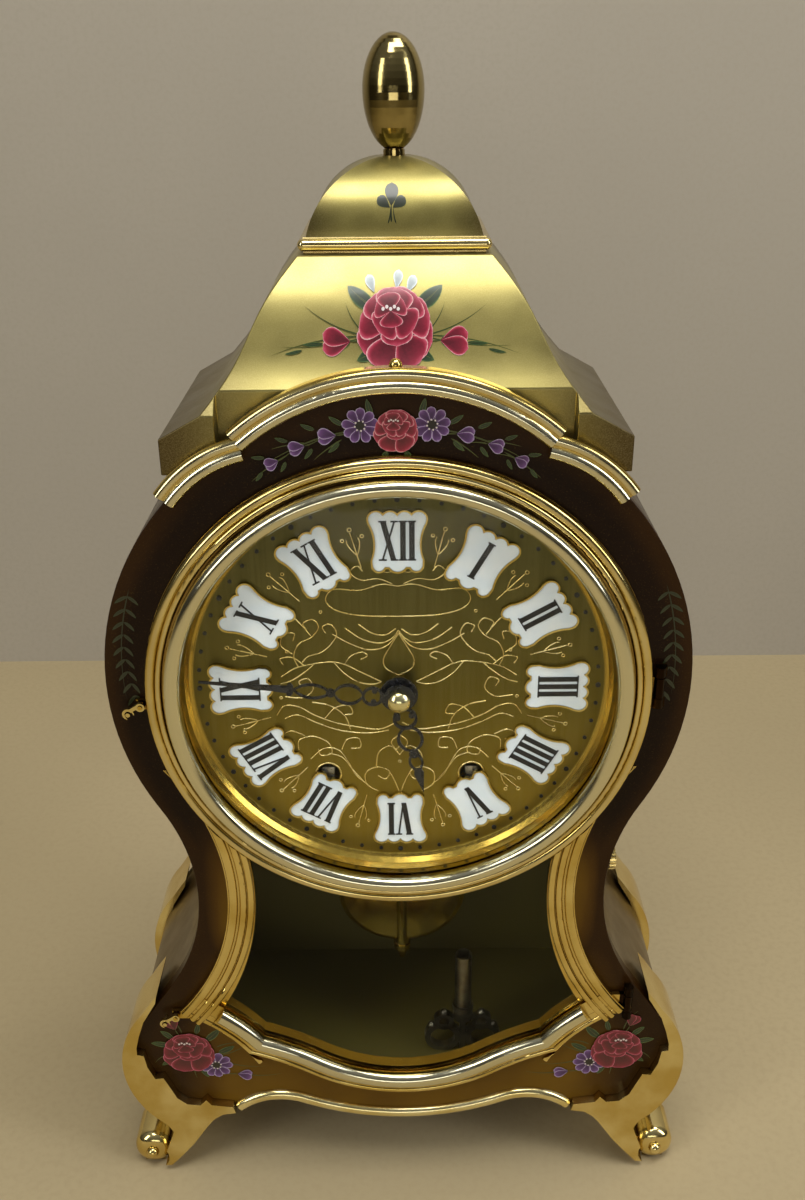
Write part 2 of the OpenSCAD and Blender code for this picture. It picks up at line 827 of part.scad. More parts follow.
module movement_bars() {
  color([0.35, 0.34, 0.33]) place() for (z = [-53, 38]) {
    w = z < 0 ? 80 : 88;
    half = z < 0 ? 4 : 5;
    translate([-w, 11.2, dial_z + z - half]) cube([2 * w, 2.6, 2 * half]);
    for (s = [-1, 1]) translate([s * (w - 5) - 5, 0.02, dial_z + z - half])
      cube([10, 11.2, 2 * half]);
    for (x = [-8, 8]) shaft([x, dial_z + z], 2.4, 13.8, front_plate_y);
  }
}

module bell_post() {
  c = at(bell_c);
  color([0.7, 0.7, 0.68]) place() {
    shaft(c, 3, back_plate_y + plate_t, 73.6);
    shaft(c, 1.6, 73.6, 78.4);
    shaft(c, 3, 76.6, 79);
  }
}

module bell() {
  c = at(bell_c);
  outer = [for (a = [0:6:84]) [24 * cos(a), -62 - 14 * sin(a)]];
  inner = [for (a = [84:-6:0]) [22.6 * cos(a), -62 - 12.6 * sin(a)]];
  color([0.75, 0.66, 0.42]) place() difference() {
    turned(c) polygon(concat([[0, -76.2]], [for (i = [len(outer) - 1:-1:0]) outer[i]],
      [for (i = [len(inner) - 1:-1:0]) inner[i]], [[0, -74.6]]));
    shaft(c, 1.65, 60, 80);
    shaft(c, 3.2, 60, 73.6);
    shaft(c, 3.2, 76.6, 80);
  }
}

module hammer() {
  c = at(hammer_c);
  head = [-61.4, 12];
  reach = [head[0] - hammer_c[0], head[1] - hammer_c[1]];
  color([0.55, 0.55, 0.57]) place() {
    arbor(hammer_c, 1.2, front_plate_y, 52);
    shaft(c, 2.6, 50, 52);
    translate([c[0], 50, c[1]]) rotate([0, -angle_of(reach, [0, 0]), 0])
      translate([0, 0, -1]) cube([norm(reach), 2, 2]);
    shaft(at(head), 2, 50, 63);
    shaft(at(head), 4, 62, 71);
    translate([c[0], 32.4, c[1]]) rotate([0, -42.6, 0]) translate([0, 0, -0.8])
      cube([12.6, 1.6, 1.6]);
  }
}

// Pawl and its screw beside each ratchet wheel
module clicks() {
  color([0.6, 0.6, 0.63]) place() mirrored() translate([arbor_x + 15.5, 0, dial_z - arbor_drop - 6]) {
    shaft([0, 0], 1.2, 11, front_plate_y);
    slab(11.4, 13.2) polygon([[-2, -2], [2, -2], [2, 1.6], [-1, 7.5], [-3, 9.5], [-2, 2]]);
  }
}

// ---------- front door ----------

module ring_profile() {
  translate([81.1, face_h]) square([11.2, 1.6]);
  translate([bezel_hole_r, face_h + 1.9]) square([6, 1.4]);
  translate([bezel_hole_r + 3, face_h + 3.9]) circle(3);
  translate([87.4, face_h + 1.9]) circle(1.3);
  translate([90.4, face_h + 1.2]) circle(2);
}

// Raised mouldings of the side strips and the bottom bar, as (offset, height) bands
module strip_profile(r) {
  translate([r, face_h - 0.2]) square([10.6, 1.4]);
  translate([r + 2.2, face_h + 0.6]) circle(1.9);
  translate([r + 6.2, face_h + 0.8]) circle(1.5);
  translate([r + 9.2, face_h + 0.9]) circle(1.4);
}

module lip_profile(r, s) {
  translate([r + s * 1.3, face_h + 0.5]) circle(1.3);
  translate([r + s * 4.2, face_h + 0.8]) circle(1.5);
  translate([r + s * 9, face_h + 2.2]) circle(3.4);
}

module half_plane(p, a) {
  translate([p[0], 0, p[1]]) rotate([0, -a, 0]) translate([0, -40, 0]) cube([200, 80, 200]);
}

module bottom_bar() {
  intersection() {
    turned(bar_b, 104, bar_turn - 14) lip_profile(bar_b[2], 1);
    half_plane(kink, 126.7);
  }
  difference() {
    turned(bar_c, 118, 34) lip_profile(bar_c[2], 1);
    half_plane(kink, 126.7);
    difference() {
      slab(-20, 0) translate(side_in_c) circle(side_in_r, $fn = 120);
      slab(-face_h - 1.5, 0) translate([60, 60]) square([60, 60]);
    }
  }
}

// Everything raised on the face of the door: bezel ring, side strips and bottom bar
module bezel_ring() {
  color([0.86, 0.7, 0.3]) place() difference() {
    union() {
      turned([0, dial_z]) ring_profile();
      mirrored() difference() {
        turned(side_c, 142, 80) strip_profile(side_r);
        slab(-20, 0) translate([0, dial_z]) circle(bezel_r - 0.15, $fn = 120);
      }
      turned(bar_a, 270 - bar_turn, 2 * bar_turn) lip_profile(bar_a[2], -1);
      mirrored() bottom_bar();
    }
    turned([0, dial_z]) square([81.1, face_h + 2]);
    slab(-face_h, 0) translate([-120, 20]) square([240, 350]);
  }
}

module door_frame() {
  color([0.84, 0.68, 0.28]) place() difference() {
    union() {
      slab(-face_h, -door_h) difference() {
        door_outline();
        translate([0, dial_z]) circle(bezel_hole_r + 0.2, $fn = 120);
        window_outline();
      }
      for (z = hinge_z) {
        translate([z > 200 ? 91 : 88, -face_h, z - 4]) cube([z > 200 ? 3.8 : 6.8, 2, 8]);
        translate([hinge_x, -hinge_h, z - 4]) cylinder(h = 8, r = knuckle_r);
      }
      slab(-face_h + 0.4, -door_h) {
        translate(upper_stud) translate([-1.6, -2]) square([6, 4]);
        translate(lower_stud) translate([-1.6, -2]) square([8.1, 4]);
      }
      for (p = [upper_stud, lower_stud]) shaft(p, stud_r, -face_h - 2.4, -door_h);
    }
    for (z = hinge_z) translate([hinge_x, -hinge_h, z - 5]) cylinder(h = 10, r = hinge_pin_r + fit);
  }
}

module dial_glass() {
  h0 = face_h;
  rim = 80.9;
  big = (rim * rim + glass_rise * glass_rise) / (2 * glass_rise);
  a1 = asin(rim / big);
  color([0.85, 0.92, 0.95, 0.3]) place() turned([0, dial_z]) polygon(concat(
    [for (i = [0:14]) [big * sin(a1 * i / 14), h0 + glass_rise - big + big * cos(a1 * i / 14)]],
    [for (i = [14:-1:0]) [big * sin(a1 * i / 14),
      h0 + glass_t + glass_rise - big + big * cos(a1 * i / 14)]]));
}

module window_glass() {
  color([0.85, 0.92, 0.95, 0.3]) place() slab(-door_h - 1.6, -door_h) window_outline(-0.04);
}

// Wire-like hook: an eye on the door's stud and a claw over the keeper pin
module hook(p, k) {
  d = [k[0] - p[0], k[1] - p[1]];
  slab(-face_h - 2, -face_h - 0.5) difference() {
    union() {
      translate(p) circle(1.7);
      translate(k) circle(2.2);
      translate(p) rotate(angle_of(d, [0, 0])) translate([0, -1.5]) square([norm(d), 1.4]);
    }
    translate(p) circle(stud_r + fit);
    translate(k) circle(1.25);
    translate(k) rotate(angle_of(d, [0, 0])) translate([-1.6, 0]) square([3.05, 4]);
  }
}

module upper_hook() {
  color([0.85, 0.78, 0.5]) place() hook(upper_stud, upper_keeper);
}

module lower_hook() {
  color([0.85, 0.78, 0.5]) place() hook(lower_stud, lower_keeper);
}

module keeper_pins() {
  color([0.8, 0.7, 0.4]) place() for (k = [upper_keeper, lower_keeper])
    shaft(k, keeper_r, -face_h - 2.6, -panel_t);
}

// Fixed halves of the door hinges and of the back door hinges, with their pins
module hinge_pins() {
  color([0.78, 0.62, 0.26]) place() {
    for (z = hinge_z) {
      translate([hinge_x, -hinge_h, z - 8.3]) cylinder(h = 16.6, r = hinge_pin_r);
      for (s = [-8.3, 4.3]) {
        translate([hinge_x, -hinge_h, z + s]) cylinder(h = 4, r = knuckle_r);
        translate([hinge_x - 1.8, -hinge_h, z + s])
          cube([z > 200 ? 4.2 : 3, hinge_h - panel_t, 4]);
      }
    }
    for (z = back_hinge_z) {
      translate([back_hinge_x, case_back + 2.4, z - 8.3]) cylinder(h = 16.6, r = hinge_pin_r);
      for (s = [-8.3, 4.3]) {
        translate([back_hinge_x, case_back + 2.4, z + s]) cylinder(h = 4, r = knuckle_r);
        translate([back_hinge_x - 3, case_back, z + s]) cube([3.6, 2.4, 4]);
      }
    }
  }
}

// ---------- back door and side knob ----------

module back_door() {
  color([0.3, 0.22, 0.1]) place() {
    difference() {
      union() {
        slab(case_back + 0.4, case_back + 2.4) back_opening(57, 114, 254);
        for (z = back_hinge_z) {
          translate([back_hinge_x, case_back + 2.4, z - 4]) cylinder(h = 8, r = knuckle_r);
          translate([back_hinge_x, case_back + 0.8, z - 4]) cube([5, 1.6, 8]);
        }
      }
      for (z = back_hinge_z) translate([back_hinge_x, case_back + 2.4, z - 5])
        cylinder(h = 10, r = hinge_pin_r + fit);
      for (z = back_hinge_z, s = [-8.6, 4]) translate([back_hinge_x - 3, case_back, z + s])
        cube([5.6, 6, 4.6]);
    }
  }
}

module back_knob() {
  color([0.8, 0.65, 0.3]) place() translate([0, 0, 190]) rotate([-90, 0, 0])
    translate([48, 0, case_back + 2.4]) {
      cylinder(h = 4, r = 2);
      translate([0, 0, 6.4]) intersection() {
        sphere(4.2);
        translate([-5, -5, -3]) cube([10, 10, 7.6]);
      }
    }
}

module side_knob() {
  x = waist_c[0] - sqrt(waist_r * waist_r - pow(165 - waist_c[1], 2));
  color([0.8, 0.66, 0.32]) place() translate([0, 2.5, 165]) rotate([0, 90, 0]) {
    translate([0, 0, x - 9]) cylinder(h = 12, r = 1.5);
    difference() {
      translate([0, 0, x + 1.5]) cylinder(h = 2.4, r = 5);
      for (a = [0:15:359]) rotate([0, 0, a]) translate([5.2, 0, x]) cylinder(h = 6, r = 0.5);
    }
    translate([0, 0, x - 12]) cylinder(h = 3, r = 2.2);
  }
}

// ---------- winding key ----------

module winding_key() {
  kx = 27;
  ky = 15;
  z0 = 48.4;
  color([0.35, 0.33, 0.3]) place() translate([kx, ky, z0]) {
    translate([0, 0, 26]) difference() {
      cylinder(h = 29, r = 3.6);
      translate([-2.35, -2.35, 14]) cube([4.7, 4.7, 16]);
    }
    translate([0, 0, 24]) cylinder(h = 3, r = 4.6);
    slab(-1.8, 1.8) {
      for (s = [-1, 1]) {
        translate([s * 9, 8]) difference() {
          circle(8);
          circle(5.6);
        }
        translate([s * 8.4, 17]) difference() {
          circle(4.4);
          circle(2.4);
        }
      }
      translate([-1.3, 1]) square([2.6, 24]);
      translate([0, 21]) circle(4.4);
      translate([0, 9]) circle(2.6);
    }
    for (a = [20:35:160]) translate([14.6 * cos(a), 0, 9 + 15 * sin(a)]) sphere(1.9);
  }
}

front_panel();
left_wall();
right_wall();
back_board();
floor_board();
roof();
cornice_trim();
cap_moulding();
cap_dome();
finial();
front_mounts();
rear_mounts();
apron_bead();
dial_plate();
minute_dots();
cartouches();
cartouche_rims();
numerals();
front_plate();
back_plate();
pillars();
movement_bars();
suspension_bracket();
bell();
bell_post();
clicks();
keeper_pins();
hinge_pins();
door_frame();
bezel_ring();
dial_glass();
window_glass();
upper_hook();
lower_hook();
back_door();
back_knob();
side_knob();
minute_hand();
hand_nut();
cannon_pinion();
hour_hand();
hour_wheel();
minute_wheel();
going_barrel();
going_arbor();
second_wheel();
centre_wheel();
third_wheel();
escape_wheel();
anchor();
pendulum_rod();
bob();
rating_nut();
strike_barrel();
strike_arbor();
strike_wheel();
pin_wheel();
fly();
hammer();
winding_key();
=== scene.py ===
import json
import math
import random

import bmesh
import bpy
from mathutils import Matrix, Vector


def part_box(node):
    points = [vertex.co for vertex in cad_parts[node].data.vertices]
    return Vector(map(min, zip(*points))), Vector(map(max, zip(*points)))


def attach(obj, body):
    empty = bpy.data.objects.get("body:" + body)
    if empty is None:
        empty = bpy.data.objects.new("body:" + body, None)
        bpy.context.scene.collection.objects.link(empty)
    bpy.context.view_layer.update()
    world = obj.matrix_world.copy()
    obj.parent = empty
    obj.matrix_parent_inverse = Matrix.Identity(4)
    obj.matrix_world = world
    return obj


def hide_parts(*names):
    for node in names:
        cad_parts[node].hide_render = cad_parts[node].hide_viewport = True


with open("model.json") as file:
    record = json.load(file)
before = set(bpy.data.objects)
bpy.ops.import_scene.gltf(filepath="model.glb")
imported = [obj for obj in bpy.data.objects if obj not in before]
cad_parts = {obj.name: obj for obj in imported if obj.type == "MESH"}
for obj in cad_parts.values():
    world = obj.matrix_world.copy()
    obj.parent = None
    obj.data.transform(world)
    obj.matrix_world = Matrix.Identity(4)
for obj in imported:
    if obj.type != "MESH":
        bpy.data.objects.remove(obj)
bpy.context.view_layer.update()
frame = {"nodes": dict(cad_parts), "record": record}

# ---------- sizes, in metres unless said otherwise ----------

MM = 0.001
rng = random.Random(11)

PANEL_LOW, PANEL_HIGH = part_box("front_panel")
PANEL_Y = PANEL_LOW[1]           # painted face of the front panel
DIAL_Y = PANEL_HIGH[1]           # face of the dial
DIAL_LOW, DIAL_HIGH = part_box("dial_plate")
DIAL_Z = (DIAL_LOW[2] + DIAL_HIGH[2]) / 2
ROOF_MID = 352 * MM              # where the roof's S-curve starts
ROOF_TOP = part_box("roof")[1][2]
PAINT_LIFT = 0.05 * MM           # first brush stroke above the surface
STROKE_STEP = 0.009 * MM         # each later stroke lies this much higher


# ---------- node helpers ----------

class Nodes:
    """A material with its node tree and short ways to add nodes to it."""

    def __init__(self, name):
        self.mat = bpy.data.materials.new(name)
        self.mat.use_nodes = True
        self.tree = self.mat.node_tree
        self.shader = self.tree.nodes["Principled BSDF"]
        coord = self.add("ShaderNodeTexCoord")
        self.place = coord.outputs["Object"]

    def add(self, kind, **settings):
        made = self.tree.nodes.new(kind)
        for key, value in settings.items():
            setattr(made, key, value)
        return made

    def link(self, out, socket):
        self.tree.links.new(out, socket)

    def put(self, socket, value):
        if hasattr(value, "links"):
            self.link(value, socket)
        else:
            socket.default_value = value

    def math(self, op, a, b=0.0, c=0.0):
        made = self.add("ShaderNodeMath", operation=op)
        for socket, value in zip(made.inputs, (a, b, c)):
            self.put(socket, value)
        return made.outputs[0]

    def axes(self):
        parts = self.add("ShaderNodeSeparateXYZ")
        self.link(self.place, parts.inputs[0])
        return parts.outputs

    def noise(self, scale, detail=3.0, rough=0.5, stretch=None):
        made = self.add("ShaderNodeTexNoise")
        made.inputs["Scale"].default_value = scale
        made.inputs["Detail"].default_value = detail
        made.inputs["Roughness"].default_value = rough
        source = self.place
        if stretch:
            mapped = self.add("ShaderNodeMapping")
            mapped.inputs["Scale"].default_value = stretch
            self.link(source, mapped.inputs["Vector"])
            source = mapped.outputs[0]
        self.link(source, made.inputs["Vector"])
        return made.outputs["Fac"]

    def spread(self, value, low, high, to_low=0.0, to_high=1.0):
        made = self.add("ShaderNodeMapRange")
        made.interpolation_type = "SMOOTHSTEP"
        for socket, item in zip(made.inputs, (value, low, high, to_low, to_high)):
            self.put(socket, item)
        return made.outputs[0]

    def ramp(self, fac, stops):
        made = self.add("ShaderNodeValToRGB")
        bar = made.color_ramp.elements
        while len(bar) < len(stops):
            bar.new(0.5)
        for item, (at, colour) in zip(bar, stops):
            item.position = at
            item.color = (*colour, 1.0)
        self.link(fac, made.inputs[0])
        return made.outputs["Color"]

    def mix(self, fac, a, b):
        made = self.add("ShaderNodeMix", data_type="RGBA")
        self.put(made.inputs[0], fac)
        for socket, value in ((made.inputs[6], a), (made.inputs[7], b)):
            self.put(socket, (*value, 1.0) if isinstance(value, tuple) else value)
        return made.outputs[2]

    def corner_shade(self, distance):
        """1 in the open, 0 deep in a corner: the mask for painting shade into corners."""
        made = self.add("ShaderNodeAmbientOcclusion")
        made.samples = 6
        made.inputs["Distance"].default_value = distance
        return made.outputs["AO"]

    def bump(self, height, strength, distance):
        made = self.add("ShaderNodeBump")
        made.inputs["Strength"].default_value = strength
        made.inputs["Distance"].default_value = distance
        self.link(height, made.inputs["Height"])
        self.link(made.outputs[0], self.shader.inputs["Normal"])

    def set(self, **values):
        names = {"color": "Base Color", "metal": "Metallic", "rough": "Roughness",
                 "coat": "Coat Weight", "coat_rough": "Coat Roughness", "ior": "IOR",
                 "transmission": "Transmission Weight"}
        for key, value in values.items():
            value = (*value, 1.0) if isinstance(value, tuple) else value
            self.put(self.shader.inputs[names[key]], value)
        return self.mat


# ---------- materials ----------

def gilt(name, dark, light, rough, highlight_from=None, grain=0.5, hinge=False):
    """Polished gilt casting: warm patches, painted shade in the corners, faint casting marks.
    Beyond highlight_from (metres in front of the dial) it turns to bright pale metal: a painted
    highlight."""
    n = Nodes(name)
    patches = n.noise(45, 4)
    colour = n.mix(n.spread(patches, 0.35, 0.65), dark, light)
    if highlight_from:
        # painted highlight: the frontmost part of the casting is painted bright pale
        front = n.math("SUBTRACT", DIAL_Y, n.axes()[1])
        pale = n.spread(front, highlight_from, highlight_from + 0.9 * MM)
        colour = n.mix(pale, colour, (0.78, 0.74, 0.52))
    # painted shade: the colour turns dark brown deep in corners, found by ambient occlusion
    unshaded = n.spread(n.corner_shade(2.5 * MM), 0.25, 0.8)
    colour = n.mix(unshaded, (0.16, 0.08, 0.015), colour)
    if hinge:
        x, y, z = n.axes()
        low = n.math("MULTIPLY", n.math("GREATER_THAN", x, 91.2 * MM),
                     n.math("LESS_THAN", z, 110 * MM))
        knuckle = n.math("MAXIMUM", low, n.math("GREATER_THAN", x, 92.7 * MM))
        colour = n.mix(knuckle, colour, (0.02, 0.010, 0.004))
    smears = n.noise(160, 5, 0.6, (1.0, 1.0, 0.35))
    wear = n.noise(900, 2)
    n.bump(n.math("ADD", n.math("MULTIPLY", wear, 0.3), smears), grain, 0.04 * MM)
    return n.set(color=colour, metal=1.0, rough=n.spread(smears, 0.3, 0.8, rough, rough + 0.12))


def case_paint():
    """Dark brown lacquer, airbrushed golden brown towards the foot and the door."""
    n = Nodes("case_lacquer")
    x, y, z = n.axes()
    side = n.math("ABSOLUTE", x)
    low = n.spread(z, 175 * MM, 66 * MM)
    corner = n.spread(side, 72 * MM, 104 * MM)
    low = n.math("MULTIPLY", low, n.math("SUBTRACT", 1.0, n.math("MULTIPLY", corner, 0.72)))
    waist = n.math("MULTIPLY", n.spread(z, 205 * MM, 160 * MM), n.spread(z, 100 * MM, 140 * MM))
    strip = n.math("MULTIPLY", waist, n.spread(side, 86 * MM, 70 * MM))
    rise = n.math("SUBTRACT", z, DIAL_Z)
    ring = n.math("SQRT", n.math("ADD", n.math("MULTIPLY", x, x), n.math("MULTIPLY", rise, rise)))
    rim = n.math("MULTIPLY", n.spread(ring, 99 * MM, 107 * MM), 0.35)
    glow = n.math("MAXIMUM", n.math("MAXIMUM", low, strip), rim)
    cloud = n.noise(28, 4)
    glow = n.math("MULTIPLY", glow, n.spread(cloud, 0.1, 0.7, 0.75, 1.0))
    colour = n.ramp(glow, [(0.0, (0.009, 0.0025, 0.0006)), (0.35, (0.028, 0.010, 0.001)),
                           (0.7, (0.085, 0.038, 0.003)), (1.0, (0.17, 0.088, 0.006))])
    specks = n.noise(2600, 2)
    colour = n.mix(n.spread(specks, 0.6, 0.8, 0.0, 0.22), colour, (0.24, 0.14, 0.02))
    n.bump(n.noise(420, 3), 0.12, 0.02 * MM)
    return n.set(color=colour, metal=0.0, rough=n.spread(cloud, 0.2, 0.8, 0.34, 0.44),
                 coat=0.08, coat_rough=0.14, ior=1.24)


def bronze_paint(name, middle, edge, half_width):
    """Satin bronze-gold spray with painted shade darkening it towards the sides and the back, and fine
    metallic grain.
    """
    n = Nodes(name)
    x, y, z = n.axes()
    # painted shade: darker towards the flanks and further back
    side = n.spread(n.math("ABSOLUTE", x), 0.45 * half_width, half_width)
    back = n.spread(y, 5 * MM, 45 * MM)
    colour = n.mix(n.math("MAXIMUM", side, back), middle, edge)
    grain = n.noise(3200, 2, 0.7)
    colour = n.mix(n.spread(grain, 0.35, 0.75), colour,
                   n.mix(0.14, colour, (0.85, 0.74, 0.36)))
    n.bump(grain, 0.1, 0.01 * MM)
    return n.set(color=colour, metal=0.85, rough=n.spread(n.noise(70, 3), 0.2, 0.8, 0.3, 0.42),
                 coat=0.25, coat_rough=0.25)


def side_paint():
    """Satin brown-olive of the walls."""
    n = Nodes("side_lacquer")
    x, y, z = n.axes()
    glow = n.spread(z, 150 * MM, 45 * MM)
    glow = n.math("MULTIPLY", glow, n.spread(n.noise(22, 3), 0.2, 0.8, 0.7, 1.0))
    colour = n.ramp(glow, [(0.0, (0.035, 0.015, 0.004)), (1.0, (0.17, 0.10, 0.02))])
    specks = n.noise(2800, 2)
    colour = n.mix(n.spread(specks, 0.55, 0.8, 0.0, 0.25), colour, (0.30, 0.20, 0.05))
    n.bump(specks, 0.15, 0.02 * MM)
    return n.set(color=colour, metal=0.5, rough=n.spread(n.noise(90, 3), 0.2, 0.8, 0.34, 0.46),
                 coat=0.3, coat_rough=0.2)


def dial_metal():
    """Satin olive-gold dial with fine vertical brushing and a bright dished rim."""
    n = Nodes("dial_satin")
    x, y, z = n.axes()
    rise = n.math("SUBTRACT", z, DIAL_Z)
    ring = n.math("SQRT", n.math("ADD", n.math("MULTIPLY", x, x), n.math("MULTIPLY", rise, rise)))
    brushed = n.noise(700, 3, 0.6, (1.0, 1.0, 0.03))
    # painted light and shade: brighter gold towards the bottom, darker olive towards the top
    colour = n.ramp(n.spread(rise, -70 * MM, 75 * MM),
                    [(0.0, (0.31, 0.22, 0.032)), (0.45, (0.165, 0.13, 0.026)),
                     (1.0, (0.105, 0.095, 0.036))])
    colour = n.mix(n.spread(brushed, 0.3, 0.7, 0.0, 0.07), colour, (0.50, 0.42, 0.18))
    rim = n.spread(ring, 75.8 * MM, 77.2 * MM)
    colour = n.mix(rim, colour, (0.62, 0.42, 0.08))
    n.bump(brushed, 0.06, 0.01 * MM)
    rough = n.math("MULTIPLY_ADD", rim, -0.2, n.spread(brushed, 0.2, 0.8, 0.34, 0.44))
    return n.set(color=colour, metal=0.95, rough=rough)


def enamel():
    n = Nodes("enamel_white")
    x, y, z = n.axes()
    tint = n.spread(n.noise(120, 3), 0.2, 0.8)
    colour = n.mix(tint, (0.72, 0.80, 0.90), (0.86, 0.89, 0.93))
    # painted shade: bluish grey in the corners where the tablets meet their rims
    colour = n.mix(n.spread(n.corner_shade(1.2 * MM), 0.3, 0.8), (0.36, 0.44, 0.58), colour)
    n.bump(n.noise(260, 2), 0.1, 0.03 * MM)
    return n.set(color=colour, rough=n.spread(tint, 0.0, 1.0, 0.14, 0.2), coat=0.6, coat_rough=0.05)


def dark_paint(name, colour, rough):
    n = Nodes(name)
    cloud = n.noise(320, 4)
    shade = n.mix(n.spread(cloud, 0.3, 0.7), colour, tuple(min(1.0, c * 1.9 + 0.006) for c in colour))
    n.bump(cloud, 0.12, 0.02 * MM)
    return n.set(color=shade, metal=0.1, rough=n.spread(cloud, 0.2, 0.8, rough, rough + 0.12),
                 coat=0.4, coat_rough=0.1)


def machined(name, dark, light, rough):
    """Turned or milled movement metal: fine rings of brushing and slight tarnish."""
    n = Nodes(name)
    tarnish = n.noise(70, 5, 0.6)
    colour = n.mix(n.spread(tarnish, 0.35, 0.7), light, dark)
    brushed = n.noise(1200, 2, 0.6, (1.0, 0.05, 1.0))
    n.bump(brushed, 0.18, 0.015 * MM)
    return n.set(color=colour, metal=1.0, rough=n.spread(brushed, 0.2, 0.8, rough, rough + 0.14))


def dark_wood():
    """Stained board of the inside and back, greener towards the floor."""
    n = Nodes("stained_wood")
    x, y, z = n.axes()
    grain = n.noise(60, 5, 0.65, (9.0, 9.0, 0.5))
    colour = n.ramp(grain, [(0.25, (0.018, 0.012, 0.006)), (0.6, (0.05, 0.034, 0.015)),
                            (0.85, (0.085, 0.06, 0.026))])
    low = n.spread(z, 150 * MM, 60 * MM)
    colour = n.mix(n.math("MULTIPLY_ADD", low, 0.45, 0.35), colour, (0.095, 0.075, 0.010))
    n.bump(grain, 0.3, 0.06 * MM)
    return n.set(color=colour, rough=n.spread(grain, 0.2, 0.8, 0.42, 0.6))


def clear_glass():
    """Thin glass that lets lamps through to what is behind it."""
    n = Nodes("clear_glass")
    smudge = n.noise(40, 4)
    n.set(color=(0.97, 0.99, 0.98), transmission=1.0, ior=1.12,
          rough=n.spread(smudge, 0.3, 0.8, 0.0, 0.035))
    clear = n.add("ShaderNodeBsdfTransparent")
    clear.inputs["Color"].default_value = (0.95, 0.97, 0.96, 1.0)
    rays = n.add("ShaderNodeLightPath")
    both = n.add("ShaderNodeMixShader")
    n.link(rays.outputs["Is Shadow Ray"], both.inputs[0])
    n.link(n.shader.outputs[0], both.inputs[1])
    n.link(clear.outputs[0], both.inputs[2])
    n.link(both.outputs[0], n.tree.nodes["Material Output"].inputs["Surface"])
    return n.mat


def brushed_paint(name, stops, rough=0.32):
    """Hand-laid oil paint: 'shade' runs from the root of a stroke (0) to its rim (1)."""
    n = Nodes(name)
    shade = n.add("ShaderNodeAttribute", attribute_name="shade")
    streak = n.noise(900, 3, 0.6)
    fac = n.math("ADD", shade.outputs["Fac"], n.math("MULTIPLY_ADD", streak, 0.3, -0.15))
    colour = n.ramp(fac, stops)
    n.bump(streak, 0.35, 0.04 * MM)
    return n.set(color=colour, rough=rough, coat=0.5, coat_rough=0.12)


GILT = gilt("gilt", (0.66, 0.49, 0.15), (0.86, 0.72, 0.34), 0.12)
# trim_gilt and door_gilt carry a painted highlight on their frontmost parts (fourth number)
TRIM_GILT = gilt("trim_gilt", (0.62, 0.44, 0.10), (0.84, 0.66, 0.22), 0.12, 10.8 * MM, 0.35)
DOOR_GILT = gilt("door_gilt", (0.66, 0.48, 0.12), (0.86, 0.69, 0.27), 0.11, 11.4 * MM, 0.35)
BEAD_GILT = gilt("bead_gilt", (0.80, 0.66, 0.28), (0.95, 0.85, 0.48), 0.16)
FINIAL_BRASS = gilt("finial_brass", (0.26, 0.20, 0.07), (0.42, 0.34, 0.14), 0.09, None, 0.2)
FRAME_GILT = gilt("frame_gilt", (0.66, 0.46, 0.10), (0.86, 0.66, 0.22), 0.12, None, 0.35, True)
HINGE_DARK = gilt("hinge_bronzed", (0.012, 0.006, 0.002), (0.03, 0.016, 0.006), 0.3)
CAP_GOLD = bronze_paint("cap_bronze", (0.34, 0.29, 0.085), (0.11, 0.08, 0.02), 33 * MM)
ROOF_GOLD = bronze_paint("roof_bronze", (0.37, 0.315, 0.10), (0.085, 0.055, 0.013), 80 * MM)
CASE = case_paint()
SIDES = side_paint()
DIAL = dial_metal()
ENAMEL = enamel()
BLACK = dark_paint("numeral_black", (0.004, 0.004, 0.006), 0.3)
HANDS = dark_paint("hand_black", (0.006, 0.006, 0.008), 0.22)
BRASS = machined("movement_brass", (0.45, 0.30, 0.10), (0.80, 0.62, 0.26), 0.24)
STEEL = machined("movement_steel", (0.30, 0.30, 0.31), (0.62, 0.62, 0.63), 0.24)
KEY_STEEL = machined("key_steel", (0.07, 0.06, 0.045), (0.20, 0.18, 0.13), 0.3)
BELL_METAL = machined("bell_metal", (0.50, 0.40, 0.20), (0.78, 0.68, 0.42), 0.2)
BOB_BRASS = gilt("bob_brass", (0.88, 0.62, 0.13), (1.0, 0.78, 0.22), 0.13, None, 0.05)
WOOD = dark_wood()
GLASS = clear_glass()

FINISH = {
    "front_panel": CASE, "left_wall": SIDES, "right_wall": SIDES, "back_board": WOOD,
    "floor_board": WOOD, "roof": ROOF_GOLD, "cornice_trim": TRIM_GILT, "cap_moulding": GILT,
    "cap_dome": CAP_GOLD, "finial": FINIAL_BRASS, "front_mounts": GILT, "rear_mounts": GILT,
    "apron_bead": BEAD_GILT, "dial_plate": DIAL, "minute_dots": BLACK, "cartouches": ENAMEL,
    "cartouche_rims": DOOR_GILT, "numerals": BLACK, "hinge_pins": HINGE_DARK, "keeper_pins": BEAD_GILT,
    "door_frame": FRAME_GILT, "bezel_ring": DOOR_GILT, "dial_glass": GLASS, "window_glass": GLASS,
    "upper_hook": BEAD_GILT, "lower_hook": BEAD_GILT, "back_door": WOOD, "back_knob": BRASS,
    "side_knob": GILT, "minute_hand": HANDS, "hour_hand": HANDS, "hand_nut": BEAD_GILT,
    "cannon_pinion": STEEL, "bob": BOB_BRASS, "rating_nut": BOB_BRASS, "bell": BELL_METAL,
    "winding_key": KEY_STEEL, "pendulum_rod": BRASS,
}
STEEL_NODES = ("bell_post", "clicks", "going_arbor", "strike_arbor", "anchor", "hammer",
               "movement_bars")


def finish_cad_nodes():
    for name, obj in frame["nodes"].items():
        made = FINISH.get(name, STEEL if name in STEEL_NODES else BRASS)
        obj.data.materials.clear()
        obj.data.materials.append(made)


finish_cad_nodes()


# ---------- smooth stand-ins for nodes whose curves are cut into flats ----------

def node_body(name):
    for body, listed in frame["record"]["behaviour"]["bodies"].items():
        if name in listed:
            return body
    return "case"


